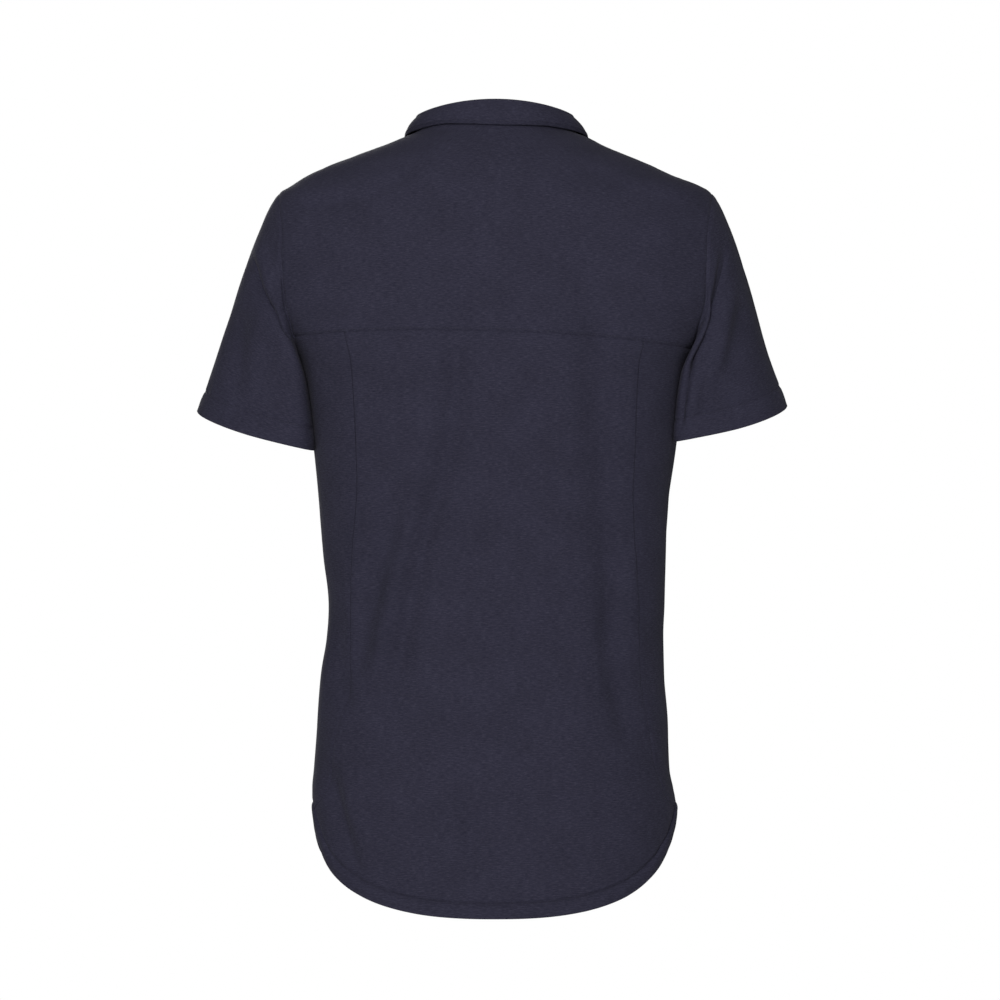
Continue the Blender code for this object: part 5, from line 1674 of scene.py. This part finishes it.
# a row near the edge of the fall: along it from the centre back, then up its short end
def collarPaths():
    edge = collarCut["edgeStitch"]
    halves = []
    for side, grid in zip((1, -1), fallGrids):
        normal = gridNormal(grid, side)
        if (normal[-4, 0] * np.array([0, 1, 0.3])).sum() < 0:  # at the centre back, out is backwards and up
            normal = -normal
        across, along = arcs(grid, 0), arcs(grid, 1)
        fromEdge, fromEnd = across[-1] - across, along[:, -1:] - along
        points, outs = [], []
        for c in range(grid.shape[1]):
            point, k = pointAt(grid, c, np.interp(-edge, -fromEdge[:, c], np.arange(len(grid))))
            if fromEnd[k, c] < edge:
                break
            points.append(point)
            outs.append(normal[k, c])
        for row in range(len(grid) - 1, cells["rollRows"] + 2, -1):
            if fromEdge[row, -1] < edge + stitchMake["endGap"]:
                continue
            place = np.interp(-edge, -fromEnd[row], np.arange(grid.shape[1]))
            point, k = pointAt(grid.swapaxes(0, 1), row, place)
            points.append(point)
            outs.append(normal[row, k])
        halves.append((np.array(points), np.array(outs)))
    points = np.concatenate([halves[1][0][:0:-1], halves[0][0]])
    outs = np.concatenate([halves[1][1][:0:-1], halves[0][1]])
    return [(points + outs * collarCut["cloth"] / 2, outs, None, False)]


collarStitches = stitchPiece("collarStitches", collarPaths(), 11)


# both long edges of the outer band and the box at its foot
def placketPaths():
    grid, x, z = bandGrid(bandLift + placketCut["cloth"] / 2)
    outward = bodyNormal(angleAtX(x, z, False), z)
    width, inset = placketCut["halfWidth"], placketCut["edgeStitch"]

    def at(px, pz):
        c = np.interp(px, x[0], np.arange(x.shape[1]))
        r = np.interp(-pz, -z[:, 0], np.arange(len(z)))
        i, j = np.minimum(r.astype(int), len(z) - 2), np.minimum(c.astype(int), x.shape[1] - 2)
        p, q = (r - i)[:, None], (c - j)[:, None]
        return betweenCells(grid, i, j, p, q), outward[i, j]

    top, foot = z[0, 0] - stitchMake["endGap"], placketCut["foot"] + inset
    paths = []
    for side in (-1, 1):
        heights = np.linspace(top, foot, 120)
        paths.append((*at(np.full(120, side * (width - inset)), heights), None, False))
    for height in (foot, placketCut["boxTop"]):
        across = np.linspace(-(width - inset), width - inset, 20)
        paths.append((*at(across, np.full(20, height)), None, False))
    return paths, at


bandPaths, onBand = placketPaths()
placketStitches = stitchPiece("placketStitches", bandPaths, 13)
standOut = outOfNeck(np.linspace(-math.pi, math.pi, standRows.shape[1]))
standLine = standRows[1] + standOut * collarCut["cloth"] / 2
standStitches = stitchPiece("standStitches", [(standLine, standOut, None, False)], 15)
print("stitching made")

# buttons
buttonMake = {
    "radius": 0.0057,
    "height": 0.0026,
    "rim": 0.0007,
    "holeRadius": 0.0008,
    "holeOffset": 0.0014,
    "standGap": 0.0006,
    "heights": (-0.1180, -0.1680),
    "threadRadius": 0.00016,
    "holeLength": 0.0135,  # of a buttonhole
    "holeHalfWidth": 0.00075,
    "holeEnd": 0.0012,  # half length of the bar at its end
    "holeStitch": {"pitch": 0.00042, "length": 0.0013, "width": 0.0004, "height": 0.00028},
    "standLift": 0.0008,  # half the stand's cloth and a little more
    "dark": (0.012, 0.012, 0.020, 1),
    "light": (0.032, 0.032, 0.048, 1),
    "gloss": (0.26, 0.40),  # roughness, least and most
}


def buttonMaterial():
    made, tree, shader = newMaterial("navyButton")
    place = addNode(tree, "ShaderNodeTexCoord")
    cloud = addNode(tree, "ShaderNodeTexNoise", {"Scale": 240.0, "Detail": 3.0, "Distortion": 1.2})
    tree.links.new(place.outputs["Object"], cloud.inputs["Vector"])
    ramp = rampNode(tree, cloud.outputs[0], (0.30, buttonMake["dark"]), (0.72, buttonMake["light"]))
    tree.links.new(ramp.outputs[0], shader.inputs["Base Color"])
    fine = addNode(tree, "ShaderNodeTexNoise", {"Scale": 1800.0, "Detail": 2.0})
    tree.links.new(place.outputs["Object"], fine.inputs["Vector"])
    rough = rangeNode(tree, fine.outputs[0], *buttonMake["gloss"])
    tree.links.new(rough.outputs[0], shader.inputs["Roughness"])
    bump = addNode(tree, "ShaderNodeBump", {"Strength": 0.12, "Distance": 0.00005})
    tree.links.new(fine.outputs[0], bump.inputs["Height"])
    tree.links.new(bump.outputs[0], shader.inputs["Normal"])
    return made


navyButton = buttonMaterial()


def lathe(profile, sides):
    points, faces = [], []
    for r, h in profile:
        points += [(r * math.cos(t), r * math.sin(t), h) for t in np.linspace(0, 2 * math.pi, sides + 1)[:-1]]
    for k in range(len(profile) - 1):
        for i in range(sides):
            j = (i + 1) % sides
            faces.append((k * sides + i, k * sides + j, (k + 1) * sides + j, (k + 1) * sides + i))
    faces.append(tuple(range(sides))[::-1])
    faces.append(tuple((len(profile) - 1) * sides + i for i in range(sides)))
    return points, faces


def turnedTo(place, outward):
    up = Vector(outward).normalized()
    level = (Vector((1.0, 0.0, 0.0)) - up * up.x).normalized()
    other = up.cross(level)
    return Matrix([[level[i], other[i], up[i], place[i]] for i in range(3)] + [[0, 0, 0, 1]])


def tube(path, radius, sides=8):
    path = np.array(path, float)
    run = unit(np.gradient(path, axis=0))
    level = unit(np.cross(run, np.array([0.31, 0.87, 0.38])))  # no strand runs that way
    other = np.cross(run, level)
    turns = np.linspace(0, 2 * math.pi, sides + 1)[:-1]
    cosine, sine = np.cos(turns)[None, :, None], np.sin(turns)[None, :, None]
    ring = path[:, None] + radius * (level[:, None] * cosine + other[:, None] * sine)
    count = len(path)
    faces = [
        (k * sides + i, k * sides + (i + 1) % sides, (k + 1) * sides + (i + 1) % sides, (k + 1) * sides + i)
        for k in range(count - 1)
        for i in range(sides)
    ]
    faces += [tuple(range(sides))[::-1], tuple((count - 1) * sides + i for i in range(sides))]
    return ring.reshape(-1, 3).tolist(), faces


def buttonDisc(name):
    h, r, rim, w = (buttonMake[key] for key in ("height", "radius", "rim", "holeRadius"))
    profile = (
        (0.0006, 0.0), (r * 0.60, 0.0), (r * 0.85, 0.0001), (r * 0.95, rim * 0.35), (r * 0.99, rim * 0.8),
        (r, rim * 1.3), (r, h - rim * 1.1), (r * 0.985, h - rim * 0.5), (r * 0.94, h - rim * 0.12),
        (r * 0.87, h), (r * 0.79, h - rim * 0.10), (r * 0.71, h - rim * 0.50), (r * 0.64, h - rim * 0.92),
        (r * 0.58, h - rim), (0.0006, h - rim),
    )
    points, faces = lathe(profile, 64)
    whole = bpy.data.meshes.new(name)
    whole.from_pydata(points, [], faces)
    disc = addObject(name, whole)
    drills = []
    for k in range(4):
        a = math.pi / 4 + k * math.pi / 2
        x, y = buttonMake["holeOffset"] * math.cos(a), buttonMake["holeOffset"] * math.sin(a)
        hole = ((w, -0.001), (w, h - rim - 0.0002), (w * 1.35, h - rim + 0.0001), (w * 1.35, h + 0.001))
        points, faces = lathe(hole, 24)
        drill = bpy.data.meshes.new("drill")
        drill.from_pydata([(px + x, py + y, pz) for px, py, pz in points], [], faces)
        drills.append(addObject("drill", drill))
        cut = disc.modifiers.new("hole", "BOOLEAN")
        cut.operation, cut.object = "DIFFERENCE", drills[-1]
    graph = bpy.context.evaluated_depsgraph_get()
    disc.data = bpy.data.meshes.new_from_object(disc.evaluated_get(graph))
    disc.modifiers.clear()
    for holder in drills:
        drill = holder.data
        bpy.data.objects.remove(holder)
        bpy.data.meshes.remove(drill)
    bpy.data.meshes.remove(whole)
    return disc


# thread: two bars, each of three strands, down through the holes
def buttonThread(name):
    points, faces = [], []
    o, s = buttonMake["holeOffset"] * math.cos(math.pi / 4), buttonMake["threadRadius"]
    top = buttonMake["height"] - buttonMake["rim"]
    for side in (-1, 1):
        for k in (-1, 0, 1):
            y = side * o + k * s * 1.7
            lift = s * (1.2 if k else 1.9)
            half = ((-o, -0.0009), (-o, top - 0.0004), (-o * 0.93, top + lift * 0.5), (-o * 0.6, top + lift))
            bar = [(x, y, z) for x, z in half] + [(0, y, top + lift * 1.1)]
            bar += [(-x, y, z) for x, z in half[::-1]]
            strand, strandFaces = tube(bar, s)
            faces += [tuple(i + len(points) for i in face) for face in strandFaces]
            points += strand
    mesh = bpy.data.meshes.new(name)
    mesh.from_pydata(points, [], faces)
    return addObject(name, mesh)


def makeButton(name, place, outward):
    disc, strands = buttonDisc(name), buttonThread(name + "Thread")
    # the button's strands take the stitching thread, whose navy is painted darker than the cloth as shade
    for piece, finish, slot in ((disc, navyButton, "button_plastic"), (strands, threadWithGrooveShade, "jersey")):
        piece.data.transform(turnedTo(place, outward))
        piece.data.shade_smooth()
        piece.data.materials.clear()
        piece.data.materials.append(finish)
        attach(piece, "root")
    disc.data.set_sharp_from_angle(angle=math.radians(40))
    return disc


onFront = bandLift + placketCut["cloth"] / 2 + bodyCut["seamGap"]
for k, z in enumerate(buttonMake["heights"]):
    height = np.array(z)
    place = foldedBody(math.pi, height, onFront)
    disc = makeButton(f"placketButton{k + 1}", place, bodyNormal(np.array(math.pi), height))
    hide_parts(f"button_placket_{k + 1}")
standFoot = standPoints(np.array([math.pi]), 2)[:, 0]
standFace = np.cross(standFoot[-1] - standFoot[0], np.array([-1.0, 0.0, 0.0]))
standFace /= np.linalg.norm(standFace)
place = (standFoot[0] + standFoot[-1]) / 2 + standFace * (buttonMake["standLift"] + buttonMake["standGap"])
disc = makeButton("standButton", place, standFace)
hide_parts("button_stand")


# buttonholes: close stitches across both edges of a slit
def buttonholes():
    paths = []
    half = buttonMake["holeLength"] / 2
    for z in buttonMake["heights"]:
        for side in (-1, 1):
            heights = np.linspace(z + half, z - half, 30)
            spots, outs = onBand(np.full(30, side * buttonMake["holeHalfWidth"]), heights)
            paths.append((spots, outs, np.broadcast_to(np.array([1.0, 0.0, 0.0]), spots.shape), False))
        for end in (half, -half):
            across = np.linspace(-buttonMake["holeEnd"], buttonMake["holeEnd"], 6)
            spots, outs = onBand(across, np.full(6, z + end))
            paths.append((spots, outs, np.broadcast_to(np.array([0.0, 0.0, 1.0]), spots.shape), False))
    return paths


holeStitches = stitchPiece("buttonholeStitches", buttonholes(), 17, **buttonMake["holeStitch"])
print("buttons made")

for piece, node in (
    (yokePiece, "back_yoke"),
    (backPiece, "back"),
    (frontPiece, "front"),
    (leftSleeve, "sleeve_left"),
    (rightSleeve, "sleeve_right"),
    (standPiece, "collar_stand"),
    (fallPiece, "collar_fall"),
    (overBand, "placket_over"),
    (underBand, "placket_under"),
):
    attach(piece, "root")
    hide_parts(node)

# studio
studio = {
    "background": (1.0, 1.0, 1.0, 1),
    "fill": 0.21,
    "floorZ": -1.45,
    "floorReach": 4.0,
    "floorColour": (0.86, 0.86, 0.865, 1),
    "aim": (0.0, 0.0, -0.35),
    # place, power and size of each light
    "key": ((0.62, 4.3, 1.15), 126, 0.8),
    "side": ((-0.9, 4.4, -0.2), 14, 1.6),
    "front": ((0.9, -4.0, 0.7), 84, 1.6),
    "top": ((0.0, 1.8, 3.0), 12, 2.0),
}


def makeCamera():
    camera = bpy.data.cameras.new("camera")
    camera.sensor_width = 36.0
    camera.lens = 36.0 * eye["place"][1] / eye["width"]
    camera.clip_end = 60.0
    viewer = addObject("camera", camera)
    viewer.location = eye["place"]
    viewer.rotation_euler = (math.pi / 2, 0.0, math.pi)
    bpy.context.scene.camera = viewer


def makeLights():
    for name in ("key", "side", "front", "top"):
        place, power, size = studio[name]
        lamp = bpy.data.lights.new(name + "Light", "AREA")
        lamp.energy, lamp.size = power, size
        holder = addObject(name + "Light", lamp)
        holder.location = place
        aim = Vector(studio["aim"]) - Vector(place)
        holder.rotation_euler = aim.to_track_quat("-Z", "Y").to_euler()


# a white background that lights the object less than the camera sees it
def makeWorld():
    world = bpy.data.worlds.new("studioWorld")
    bpy.context.scene.world = world
    world.use_nodes = True
    tree = world.node_tree
    tree.nodes.clear()
    seen = addNode(tree, "ShaderNodeBackground", {"Color": studio["background"], "Strength": 1.0})
    lit = addNode(tree, "ShaderNodeBackground", {"Color": (1, 1, 1, 1), "Strength": studio["fill"]})
    path, mix, out = (tree.nodes.new("ShaderNode" + kind) for kind in ("LightPath", "MixShader", "OutputWorld"))
    tree.links.new(path.outputs["Is Camera Ray"], mix.inputs[0])
    tree.links.new(lit.outputs[0], mix.inputs[1])
    tree.links.new(seen.outputs[0], mix.inputs[2])
    tree.links.new(mix.outputs[0], out.inputs[0])
    bpy.context.scene.view_settings.view_transform = "Standard"


def makeFloor():
    mesh = bpy.data.meshes.new("floor")
    reach, height = studio["floorReach"], studio["floorZ"]
    turns = np.linspace(0, 2 * math.pi, 97)[:-1]
    ring = [(reach * math.cos(t), reach * math.sin(t), height) for t in turns]
    mesh.from_pydata(ring, [], [tuple(range(len(ring)))])
    pale = bpy.data.materials.new("paleFloor")
    pale.use_nodes = True
    shader = pale.node_tree.nodes["Principled BSDF"]
    shader.inputs["Base Color"].default_value = studio["floorColour"]
    shader.inputs["Roughness"].default_value = 0.9
    mesh.materials.append(pale)
    addObject("floor", mesh)


makeCamera()
makeLights()
makeWorld()
makeFloor()
print("studio made")
